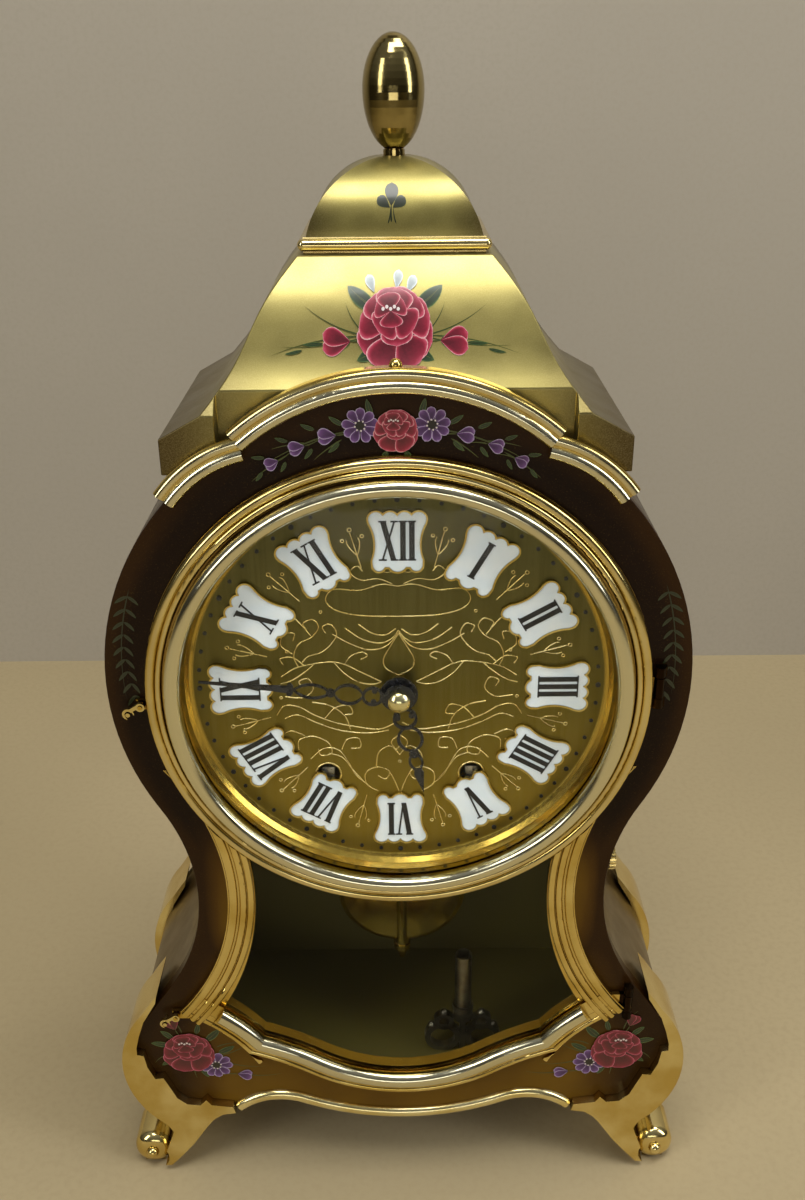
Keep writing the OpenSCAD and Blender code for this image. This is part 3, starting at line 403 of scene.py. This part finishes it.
def smoothed(name, bevel=0.0, angle=28, segments=3):
    """A copy of a node with its curves smoothed and its edges rounded by bevel metres."""
    source = frame["nodes"][name]
    work = bmesh.new()
    work.from_mesh(source.data)
    bmesh.ops.remove_doubles(work, verts=work.verts, dist=0.002 * MM)
    bmesh.ops.dissolve_limit(work, angle_limit=math.radians(0.6), verts=work.verts,
                             edges=work.edges)
    mesh = bpy.data.meshes.new(name + "_finished")
    work.to_mesh(mesh)
    work.free()
    mesh.materials.clear()
    mesh.materials.append(FINISH[name])
    mesh.polygons.foreach_set("use_smooth", [True] * len(mesh.polygons))
    mesh.polygons.foreach_set("material_index", [0] * len(mesh.polygons))
    mesh.set_sharp_from_angle(angle=math.radians(angle))
    made = bpy.data.objects.new(name + "_finished", mesh)
    bpy.context.scene.collection.objects.link(made)
    if bevel:
        rounding = made.modifiers.new("rounding", "BEVEL")
        rounding.width = bevel
        rounding.segments = segments
        rounding.limit_method = "ANGLE"
        rounding.angle_limit = math.radians(angle + 4)
        rounding.harden_normals = True
    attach(made, node_body(name))
    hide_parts(name)
    return made


smoothed("roof", 0.5 * MM)
smoothed("front_mounts", 1.3 * MM, 40, 4)
smoothed("rear_mounts", 1.3 * MM, 40, 4)
smoothed("left_wall", 0.4 * MM)
smoothed("right_wall", 0.4 * MM)
smoothed("front_panel", 0.5 * MM)
smoothed("back_board", 0.4 * MM)

# ---------- painted flowers ----------

CRIMSON = brushed_paint("rose_crimson", [(0.0, (0.07, 0.001, 0.008)), (0.6, (0.20, 0.006, 0.025)),
                                         (0.86, (0.40, 0.03, 0.08)), (1.0, (0.70, 0.24, 0.32))])
WHITE_ROSE = brushed_paint("rose_white_edge", [(0.0, (0.10, 0.002, 0.012)), (0.5, (0.30, 0.012, 0.04)),
                                               (0.8, (0.55, 0.07, 0.13)), (1.0, (0.85, 0.55, 0.56))])
VIOLET = brushed_paint("daisy_violet", [(0.0, (0.05, 0.012, 0.09)), (0.5, (0.16, 0.06, 0.26)),
                                        (0.8, (0.42, 0.30, 0.58)), (1.0, (0.80, 0.76, 0.92))])
PALE = brushed_paint("bud_pale", [(0.0, (0.22, 0.28, 0.30)), (0.5, (0.55, 0.64, 0.66)),
                                  (1.0, (0.90, 0.94, 0.95))])
LEAF = brushed_paint("leaf_green", [(0.0, (0.006, 0.022, 0.006)), (0.55, (0.018, 0.055, 0.012)),
                                    (0.85, (0.07, 0.13, 0.03)), (1.0, (0.30, 0.36, 0.12))])
SPRIG = brushed_paint("sprig_olive", [(0.0, (0.03, 0.05, 0.01)), (1.0, (0.16, 0.17, 0.03))])
DARK_SPRAY = brushed_paint("spray_dark", [(0.0, (0.010, 0.016, 0.005)), (1.0, (0.035, 0.05, 0.018))])
CENTRE = brushed_paint("daisy_centre", [(0.0, (0.004, 0.004, 0.004)), (1.0, (0.02, 0.014, 0.01))])
HIGHLIGHT = brushed_paint("white_touch", [(0.0, (0.75, 0.66, 0.66)), (1.0, (0.95, 0.92, 0.92))])
PAINTS = (CRIMSON, WHITE_ROSE, VIOLET, PALE, LEAF, SPRIG, DARK_SPRAY, CENTRE, HIGHLIGHT)


def petal_width(u):
    return math.sin(math.pi * u ** 1.7) ** 0.55


def leaf_width(u):
    return 1.75 * u ** 0.6 * (1 - u) ** 0.8


def thin_width(u):
    return (1 - u) ** 0.7 * min(1.0, 6 * u) ** 0.5


def flat_front(x, z):
    return PANEL_Y


def roof_front(x, z):
    """Depth of the roof's S-curved front face at height z."""
    t = (z - ROOF_MID) / (ROOF_TOP - ROOF_MID)
    return PANEL_Y + (32 * t + 1.5 * math.sin(2 * math.pi * t)) * MM


def dome_front(x, z):
    """Depth of the cap's rounded front face at height z."""
    low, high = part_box("cap_dome")
    radius, centre = 26.1 * MM, ROOF_TOP + 3.4 * MM
    middle = DIAL_Y + 56 * MM
    return middle - math.sqrt(max(0.0, radius ** 2 - (z - centre) ** 2))


class Painting:
    """Brush strokes laid on a front surface, in millimetres from a local origin."""

    def __init__(self, name, surface, centre, scale=1.0, mirror=False):
        self.name, self.surface, self.centre = name, surface, centre
        self.scale, self.sign = scale, -1.0 if mirror else 1.0
        self.verts, self.faces, self.paint, self.shade = [], [], [], []
        self.level = 0

    def point(self, x, z, shade):
        px = (self.centre[0] + self.sign * x * self.scale) * MM
        pz = (self.centre[1] + z * self.scale) * MM
        lift = PAINT_LIFT + self.level * STROKE_STEP
        self.verts.append((px, self.surface(px, pz) - lift, pz))
        self.shade.append(shade)

    def stroke(self, x, z, angle, length, width, shape, paint, bend=0.0, rim=4.0):
        """One stroke from (x, z) in direction angle; bend turns it in degrees along its way."""
        rows, cols = 12, 6
        start = len(self.verts)
        heading = math.radians(angle)
        turn = math.radians(bend) / rows
        self.level += 1
        for i in range(rows + 1):
            u = i / rows
            half = width / 2 * shape(min(max(u, 0.0001), 0.9999))
            for j in range(cols + 1):
                v = 2 * j / cols - 1
                side = heading + math.pi / 2
                edge = max(abs(v) ** rim, u ** rim * 0.9)
                self.point(x + math.cos(side) * v * half, z + math.sin(side) * v * half, edge)
            x += math.cos(heading) * length / rows
            z += math.sin(heading) * length / rows
            heading += turn
        for i in range(rows):
            for j in range(cols):
                a = start + i * (cols + 1) + j
                quad = (a, a + 1, a + cols + 2, a + cols + 1)
                self.faces.append(quad if self.sign > 0 else quad[::-1])
                self.paint.append(PAINTS.index(paint))

    def petal(self, x, z, angle, length, width, paint=CRIMSON, bend=0.0):
        self.stroke(x, z, angle, length, width, petal_width, paint, bend)

    def leaf(self, x, z, angle, length, width, bend=15.0):
        self.stroke(x, z, angle, length, width, leaf_width, LEAF, bend, 3.0)
        self.stroke(x, z, angle, length * 0.9, width * 0.1, thin_width, SPRIG, bend)

    def tendril(self, x, z, angle, length, width=0.55, bend=50.0, paint=SPRIG):
        self.stroke(x, z, angle, length, width, thin_width, paint, bend)

    def spot(self, x, z, size, paint):
        self.stroke(x - size / 2, z, 0, size, size, lambda u: math.sqrt(u * (1 - u)) * 2, paint)

    def rose(self, x, z, r, turn=0.0, paint=CRIMSON):
        """A cabbage rose: wide lower petals, folded side petals and a small cup on top."""
        for angle, out, size in ((-150, 0.25, 0.8), (-30, 0.25, 0.8), (-118, 0.2, 0.88),
                                 (-62, 0.2, 0.88), (165, 0.15, 0.8), (15, 0.15, 0.8),
                                 (125, 0.15, 0.78), (55, 0.15, 0.78), (90, 0.12, 0.8)):
            a = math.radians(angle + turn)
            self.petal(x + out * r * math.cos(a), z + out * r * math.sin(a), angle + turn,
                       size * r, 1.0 * r, paint, 12 if angle < 0 else -12)
        for angle, size in ((-90, 0.78), (-140, 0.62), (-40, 0.62)):
            self.petal(x, z + 0.3 * r, angle + turn, size * r, 0.86 * r, paint)
        cup = (x - 0.12 * r, z + 0.36 * r)
        for angle, size in ((150, 0.42), (30, 0.42), (95, 0.44), (-90, 0.4)):
            self.petal(cup[0], cup[1], angle + turn, size * r, 0.62 * r, paint)
        for k in range(5):
            self.spot(cup[0] + (k - 2) * 0.1 * r, cup[1] + 0.05 * r * ((k % 2) + 1), 0.085 * r,
                      HIGHLIGHT)

    def daisy(self, x, z, r, petals=9, paint=VIOLET, start=0.0):
        for k in range(petals):
            a = start + 360 * k / petals + rng.uniform(-5, 5)
            ca, sa = math.cos(math.radians(a)), math.sin(math.radians(a))
            self.petal(x + 0.16 * r * ca, z + 0.16 * r * sa, a, 0.84 * r, 0.52 * r, paint)
        self.spot(x, z, 0.5 * r, CENTRE)
        for k in range(8):
            a = math.radians(45 * k + 10)
            self.spot(x + 0.28 * r * math.cos(a), z + 0.28 * r * math.sin(a), 0.1 * r, HIGHLIGHT)

    def bud(self, x, z, angle, r, paint=WHITE_ROSE):
        self.leaf(x, z, angle + 24, r * 0.9, r * 0.35, 10)
        self.leaf(x, z, angle - 24, r * 0.9, r * 0.35, -10)
        self.petal(x, z, angle + 12, r, 0.62 * r, paint, 6)
        self.petal(x, z, angle - 12, r, 0.62 * r, paint, -6)
        self.tendril(x, z, angle + 180, r * 1.2, 0.5, 25)

    def make(self, body="case"):
        mesh = bpy.data.meshes.new(self.name)
        mesh.from_pydata(self.verts, [], self.faces)
        for paint in PAINTS:
            mesh.materials.append(paint)
        mesh.polygons.foreach_set("material_index", self.paint)
        mesh.polygons.foreach_set("use_smooth", [True] * len(self.faces))
        layer = mesh.attributes.new("shade", "FLOAT", "POINT")
        layer.data.foreach_set("value", self.shade)
        made = bpy.data.objects.new(self.name, mesh)
        bpy.context.scene.collection.objects.link(made)
        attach(made, body)
        return made


def roof_bouquet():
    p = Painting("roof_bouquet", roof_front, (0, 377.5))
    for side in (1, -1):
        for angle, length, bend in ((0, 34, -22), (-14, 30, 18), (10, 24, 30), (35, 13, 40)):
            a = angle if side > 0 else 180 - angle
            p.tendril(side * 9, -3, a, length, 0.6, side * bend)
        a = 28 if side > 0 else 152
        p.leaf(side * 7, 5.5, a, 11, 7.5, side * 18)
        p.leaf(side * 5, -6, -35 if side > 0 else 215, 9, 6, side * 15)
        p.leaf(side * 1, -8, -75 if side > 0 else 255, 7, 5, side * 10)
        p.bud(side * 15, -4.5, 0 if side > 0 else 180, 9.5)
        p.leaf(side * 24, -5, -8 if side > 0 else 188, 7, 1.8, side * 12)
        p.leaf(side * 31, -7, -16 if side > 0 else 196, 6, 1.5, side * 12)
    for x, angle in ((-7, 112), (0.5, 80), (4, 60)):
        p.stroke(x, 11 if abs(x) < 4 else 10, angle, 5.5, 3.2, petal_width, PALE)
        p.tendril(x * 0.5, 6, angle, 5, 0.5, 10)
    p.rose(0, 0, 12.6, 4, WHITE_ROSE)
    p.make()


def cap_sprig():
    p = Painting("cap_sprig", dome_front, (-1, 411))
    p.tendril(0, -3, 95, 6, 0.7, -15, DARK_SPRAY)
    p.tendril(-1.2, -3.5, 70, 6, 0.5, 25, DARK_SPRAY)
    p.tendril(1.6, -3.5, 110, 6, 0.5, -25, DARK_SPRAY)
    p.stroke(0, 2, 88, 7, 4.6, petal_width, DARK_SPRAY)
    p.stroke(-0.5, 1.5, 142, 5.2, 3.6, petal_width, DARK_SPRAY)
    p.stroke(0.5, 1.5, 36, 5.2, 3.6, petal_width, DARK_SPRAY)
    p.make()


def arch_garland():
    p = Painting("arch_garland", flat_front, (0, 345))
    for side in (1, -1):
        flip = side < 0
        for x, z, angle, length in ((14, 2, -8, 18), (24, 0, -18, 20), (36, -6, -30, 16),
                                    (18, -1, -30, 12), (30, -2, -4, 12)):
            p.tendril(side * x, z, 180 - angle if flip else angle, length, 0.6, side * -14)
        for x, z, angle, size in ((17.5, 4, 25, 5.5), (19, -2, -50, 5), (27, 2.5, 15, 5),
                                  (28, -4, -60, 4.5), (36, -1.5, 10, 4.5), (37, -8.5, -70, 4),
                                  (44, -7, -5, 4.5), (45, -12, -60, 4)):
            p.leaf(side * x, z, 180 - angle if flip else angle, size, size * 0.45, side * 15)
        for x, z, angle, size in ((20, 0.5, -5, 6.2), (30.5, -3, -15, 5.6), (39.5, -8, -25, 5)):
            p.bud(side * x, z, 180 - angle if flip else angle, size, VIOLET)
        p.leaf(side * 8, 7, 70 if not flip else 110, 6, 3, side * 10)
        p.daisy(side * 11.9, 3.8, 6.2, 9, VIOLET, 10)
    p.leaf(-3, -5, -120, 5, 3)
    p.leaf(3, -5, -60, 5, 3)
    p.rose(0, 2.4, 7.4, 0, WHITE_ROSE)
    p.make()


def corner_bouquet(name, mirror):
    p = Painting(name, flat_front, (92.7 if mirror else -92.7, 69.4), 1.0, mirror)
    for x, z, angle, length, bend in ((12, -3, 12, 16, 30), (14, -6, -25, 20, 35),
                                      (-2, 10, 100, 13, 40), (10, -9, -60, 9, -30),
                                      (-9, -2, 200, 8, 40), (12, 2, 30, 12, -40),
                                      (2, -9, -100, 7, 30), (24, -14, -12, 16, 30)):
        p.tendril(x, z, angle, length, 0.55, bend)
    for x, z, angle, size in ((-8, 3, 160, 8), (-6, 7, 130, 7), (8, 6, 40, 9), (4, 10, 70, 6),
                              (13, -1, 22, 8), (-7, -5, 205, 6), (5, -10, -70, 6)):
        p.leaf(x, z, angle, size, size * 0.55)
    p.daisy(11.5, -8.2, 7.2, 9, VIOLET, 200)
    p.bud(20.5, -13.5, -8, 6.4, VIOLET)
    p.bud(-4.6, 12.8, 110, 6.6, CRIMSON)
    p.rose(0, 0, 11.2, 8, CRIMSON)
    p.make()


def drum_spray(name, mirror):
    """Faint dark sprays of leaves painted down the drum's sides."""
    p = Painting(name, flat_front, (96.5 if mirror else -96.5, 268), 1.0, not mirror)
    p.tendril(-2, 22, -72, 46, 0.5, -24, DARK_SPRAY)
    for k in range(9):
        z = 19 - 5 * k
        x = -1 + 3.4 * math.sin(k / 8 * math.pi * 0.9)
        p.stroke(x, z, -20 - 3 * k, 5.5, 1.9, leaf_width, DARK_SPRAY, -20)
        p.stroke(x, z, 215 + 2 * k, 5.0, 1.8, leaf_width, DARK_SPRAY, 20)
    p.make()


roof_bouquet()
cap_sprig()
arch_garland()
corner_bouquet("corner_bouquet_left", False)
corner_bouquet("corner_bouquet_right", True)
drum_spray("drum_spray_left", False)
drum_spray("drum_spray_right", True)

# ---------- engraved scrollwork on the dial ----------

ENGRAVING = gilt("engraved_gold", (0.80, 0.62, 0.22), (0.98, 0.84, 0.42), 0.22, None, 0.2)


def scroll(x, z, heading, length, k0, k1, curl=3.0):
    """A scroll whose curvature goes from k0 to k1 (turns tighter towards both ends)."""
    points = []
    steps = 44
    angle = math.radians(heading)
    for i in range(steps + 1):
        points.append((x, z))
        t = i / steps
        bend = k0 * (1 - t) ** curl + k1 * t ** curl
        angle += bend * length / steps
        x += math.cos(angle) * length / steps
        z += math.sin(angle) * length / steps
    return points


def circle_points(x, z, r, n=16):
    return [(x + r * math.cos(2 * math.pi * k / n), z + r * math.sin(2 * math.pi * k / n))
            for k in range(n + 1)]


def relief(name, lines, y, radius, material, body="case"):
    """Fine raised lines: each one a tube of the given radius half sunk in the surface."""
    data = bpy.data.curves.new(name, "CURVE")
    data.dimensions = "3D"
    data.bevel_depth = radius
    data.bevel_resolution = 1
    for points in lines:
        spline = data.splines.new("POLY")
        spline.points.add(len(points) - 1)
        for item, (x, z) in zip(spline.points, points):
            item.co = (x * MM, y, DIAL_Z + z * MM, 1.0)
    data.materials.append(material)
    made = bpy.data.objects.new(name, data)
    bpy.context.scene.collection.objects.link(made)
    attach(made, body)
    return made


def both_sides(lines):
    return lines + [[(-x, z) for x, z in points] for points in lines]


def smooth_line(points, steps=7):
    """A flowing line through a few points given in millimetres from the dial's middle."""
    ends = [points[0]] + list(points) + [points[-1]]
    line = []
    for i in range(1, len(ends) - 2):
        p0, p1, p2, p3 = ends[i - 1], ends[i], ends[i + 1], ends[i + 2]
        for k in range(steps):
            t = k / steps
            line.append(tuple(0.5 * (2 * b + (c - a) * t + (2 * a - 5 * b + 4 * c - d) * t * t
                                     + (3 * b - a - 3 * c + d) * t ** 3)
                              for a, b, c, d in zip(p0, p1, p2, p3)))
    line.append(points[-1])
    return line


# Left half of the engraving, in millimetres from the dial's middle
TABLET_LINES = [
    # garland under the empty tablet, and the heart that hangs from it
    [(-24, 22), (-18.5, 18.5), (-11, 15.5), (-4.5, 17), (0, 22.5)],
    [(-19.5, 24.5), (-13.5, 20), (-7, 18.2), (-2.5, 20), (0, 23.5)],
    [(-14.5, 26), (-10, 22.5), (-5, 21.5), (-1, 24)],
    [(0, 22), (-3.2, 16.5), (-5.6, 11.5), (-4.6, 7.5), (0, 4.8)],
    # frame of the tablet and its crest
    [(0, 41), (-6, 41.8), (-14, 39.5), (-23, 40), (-26, 36), (-23, 32), (-14, 29.5), (0, 29)],
    [(0, 49), (-3.5, 46.5), (-7, 48.5), (-6, 52.5), (-2.5, 51.5), (-3.5, 49.5)],
    [(-2, 42), (-7, 44), (-13, 43.5), (-17, 46.5), (-14.5, 49), (-12.5, 47)],
]
BRANCH_LINES = [
    # branch beside the hands with its leaves
    [(-43.5, 4.5), (-37, 8.5), (-26, 10.5), (-20, 9.5), (-15.5, 7), (-6.5, 2)],
    [(-20, 9.5), (-17.5, 13), (-13.5, 14.5), (-11.5, 13), (-14, 11.5)],
    [(-24, 10.5), (-20, 5.5), (-15, 2), (-10, 1), (-6.5, 2)],
    [(-31, 10), (-34, 7), (-39.5, 3), (-44, 1.5)],
    [(-35, 9.2), (-39, 12.5), (-43.5, 12), (-42.5, 9.5)],
    # tall scrolls at the side
    [(-37, 8.5), (-38.5, 13), (-36.5, 18), (-31.5, 21), (-29, 25), (-31, 28), (-34.5, 26.5),
     (-33.5, 24)],
    [(-35.5, 10.5), (-33, 13), (-28.5, 14.5), (-25, 17.5), (-22.5, 22), (-24.5, 26),
     (-27.5, 25), (-26.5, 22.5)],
    [(-39, 14), (-43, 17.5), (-42, 22), (-38, 22.5), (-38.5, 19.5)],
    [(-32, 21.5), (-37, 28), (-42, 31), (-45, 28), (-42.5, 26)],
]
LOWER_LINES = [
    # lower branch and its scrolls
    [(-46, -12), (-43, -8), (-37.5, -8.5), (-32, -12), (-24, -15.5), (-15.5, -17.5),
     (-7.5, -18.5), (-1, -15.5)],
    [(-43, -13.5), (-38, -12), (-31, -15.5), (-22, -19), (-12, -20.2), (-4, -19)],
    [(-32.5, -6.5), (-26, -8), (-20.5, -12.5), (-18.5, -18.5)],
    [(-42.5, -4), (-36, -4.5), (-32, -1), (-33.5, 3.5), (-37, 2.5), (-36, 0)],
    [(-28, -13.5), (-24, -9), (-19, -8), (-17.5, -11.5), (-20.5, -12)],
    [(-38.5, -27.5), (-38, -23), (-32.5, -21.5), (-27, -24.5), (-26, -29), (-30, -30),
     (-31, -27)],
    [(-36, -21), (-41, -19), (-45, -21.5), (-43, -25), (-40, -23)],
    [(-34, -31.5), (-29, -27), (-23.5, -27.5), (-20, -32.5), (-17, -39), (-12.5, -43.5)],
    [(-27, -29), (-22, -31), (-18.5, -36), (-14.5, -41.5)],
    [(-22, -27.5), (-20, -23), (-15.5, -22.5), (-15, -26.5), (-18.5, -27)],
    # crest above the VI
    [(-8.5, -46.5), (-12.8, -43.5), (-13, -38), (-8.5, -35.5), (-4, -37.5), (-5.5, -41),
     (-8.5, -39.5)],
    [(-4, -37.5), (-2, -42), (0, -48)],
    [(-9, -35), (-8, -29), (-3.5, -26), (0, -30)],
    [(0, -21), (-3, -24), (-1.5, -27.5), (0, -26)],
]


def dial_scrolls():
    lines = [smooth_line(points) for points in TABLET_LINES + BRANCH_LINES + LOWER_LINES]
    dots = [circle_points(x, z, 0.5) for x, z in
            ((5, 54), (28, 31), (41, 15), (44, -4.5), (24, -41), (0, -33))]
    return both_sides(lines + dots)


def sprig_lines():
    """A small budding twig between each pair of tablets."""
    lines = []
    for k in range(12):
        a = math.radians(30 * k + 15)
        twig = [scroll(0, 50, 90, 14, 0.004, -0.004), scroll(0, 55, 50, 7, 0.15, 0.5),
                scroll(0, 55, 130, 7, -0.15, -0.5), circle_points(0, 65, 0.7, 10),
                circle_points(3.6, 61.6, 0.6, 10), circle_points(-3.6, 61.6, 0.6, 10)]
        for points in twig:
            lines.append([(x * math.cos(a) + z * math.sin(a), z * math.cos(a) - x * math.sin(a))
                          for x, z in points])
    return lines


relief("dial_scrollwork", dial_scrolls(), DIAL_Y, 0.27 * MM, ENGRAVING)
relief("dial_sprigs", sprig_lines(), DIAL_Y, 0.24 * MM, ENGRAVING)
relief("arbor_collar_right", [circle_points(27.5, -38.4, 4.9, 32)], DIAL_Y, 0.35 * MM, ENGRAVING)
relief("arbor_collar_left", [circle_points(-27.5, -38.4, 4.9, 32)], DIAL_Y, 0.35 * MM, ENGRAVING)

# ---------- room, light and camera ----------

ROOM = 3.0                       # half the width of the floor and the wall
WALL_Y = 0.44                    # place of the wall behind the clock
WALL_TOP = 2.6


def room_material(name, colour, fleck):
    n = Nodes(name)
    cloud = n.noise(3.0, 4)
    grain = n.noise(300, 3, 0.6)
    shade = n.mix(n.spread(cloud, 0.3, 0.7), colour, tuple(c * 0.92 for c in colour))
    shade = n.mix(n.spread(grain, 0.4, 0.7, 0.0, 0.5), shade, fleck)
    n.bump(grain, 0.2, 0.2 * MM)
    return n.set(color=shade, rough=n.spread(cloud, 0.2, 0.8, 0.7, 0.85))


def stage_plane(name, corners, material):
    mesh = bpy.data.meshes.new(name)
    mesh.from_pydata(corners, [], [(0, 1, 2, 3)])
    mesh.materials.append(material)
    made = bpy.data.objects.new(name, mesh)
    bpy.context.scene.collection.objects.link(made)


FLOOR = room_material("floor_card", (0.47, 0.38, 0.22), (0.41, 0.325, 0.185))
WALL = room_material("wall_card", (0.44, 0.40, 0.33), (0.39, 0.35, 0.28))


def clear_from_behind(material):
    """The wall is see-through from its far side, so it never hides the back of the clock."""
    tree = material.node_tree
    out = tree.nodes["Material Output"].inputs["Surface"]
    painted = out.links[0].from_socket
    clear = tree.nodes.new("ShaderNodeBsdfTransparent")
    both = tree.nodes.new("ShaderNodeMixShader")
    facing = tree.nodes.new("ShaderNodeNewGeometry").outputs["Backfacing"]
    tree.links.new(facing, both.inputs[0])
    tree.links.new(painted, both.inputs[1])
    tree.links.new(clear.outputs[0], both.inputs[2])
    tree.links.new(both.outputs[0], out)


clear_from_behind(WALL)
stage_plane("floor", [(-ROOM, -ROOM, 0), (ROOM, -ROOM, 0), (ROOM, ROOM, 0), (-ROOM, ROOM, 0)], FLOOR)
stage_plane("wall", [(-ROOM, WALL_Y, 0), (ROOM, WALL_Y, 0), (ROOM, WALL_Y, WALL_TOP),
                     (-ROOM, WALL_Y, WALL_TOP)], WALL)


def area_light(name, place, aim, size, power, colour):
    data = bpy.data.lights.new(name, "AREA")
    data.shape = "RECTANGLE"
    data.size, data.size_y = size
    data.energy = power
    data.color = colour
    lamp = bpy.data.objects.new(name, data)
    lamp.location = place
    lamp.rotation_euler = (Vector(aim) - Vector(place)).to_track_quat("-Z", "Y").to_euler()
    bpy.context.scene.collection.objects.link(lamp)


CLOCK_MIDDLE = (0.0, 0.0, 0.24)
area_light("overhead", (0.15, -0.25, 1.5), CLOCK_MIDDLE, (1.2, 0.45), 13, (1.0, 0.98, 0.93))
area_light("left_box", (-1.1, -0.9, 0.9), CLOCK_MIDDLE, (0.35, 1.0), 5.5, (1.0, 0.98, 0.92))
area_light("right_box", (1.15, -0.55, 0.85), CLOCK_MIDDLE, (0.3, 1.0), 5.5, (0.98, 0.99, 1.0))
area_light("low_front", (0.0, -1.5, 0.3), CLOCK_MIDDLE, (0.9, 0.22), 1.6, (1.0, 0.96, 0.88))


def world_light():
    world = bpy.data.worlds.new("room")
    world.use_nodes = True
    tree = world.node_tree
    back = tree.nodes["Background"]
    coord = tree.nodes.new("ShaderNodeTexCoord")
    parts = tree.nodes.new("ShaderNodeSeparateXYZ")
    ramp = tree.nodes.new("ShaderNodeValToRGB")
    tree.links.new(coord.outputs["Generated"], parts.inputs[0])
    tree.links.new(parts.outputs["Z"], ramp.inputs[0])
    tree.links.new(ramp.outputs[0], back.inputs["Color"])
    bar = ramp.color_ramp.elements
    bar[0].position, bar[0].color = 0.0, (0.10, 0.085, 0.06, 1)
    bar[1].position, bar[1].color = 1.0, (0.75, 0.74, 0.72, 1)
    back.inputs["Strength"].default_value = 0.3
    bpy.context.scene.world = world


world_light()

CAMERA_PLACE = (0.0016, -0.4163, 0.4614)
CAMERA_PITCH = 25.46             # degrees below level
CAMERA_ROLL = -0.5               # degrees
CAMERA_LENS = 34.89              # for a 36 mm sensor along the picture's height


def camera():
    data = bpy.data.cameras.new("camera")
    data.sensor_width = 36
    data.lens = CAMERA_LENS
    data.clip_start = 0.01
    made = bpy.data.objects.new("camera", data)
    tilt = Matrix.Rotation(math.radians(90 - CAMERA_PITCH), 3, "X")
    roll = Matrix.Rotation(math.radians(CAMERA_ROLL), 3, "Z")
    made.rotation_euler = (tilt @ roll).to_euler()
    made.location = CAMERA_PLACE
    bpy.context.scene.collection.objects.link(made)
    bpy.context.scene.camera = made


camera()
bpy.context.scene.view_settings.view_transform = "Standard"
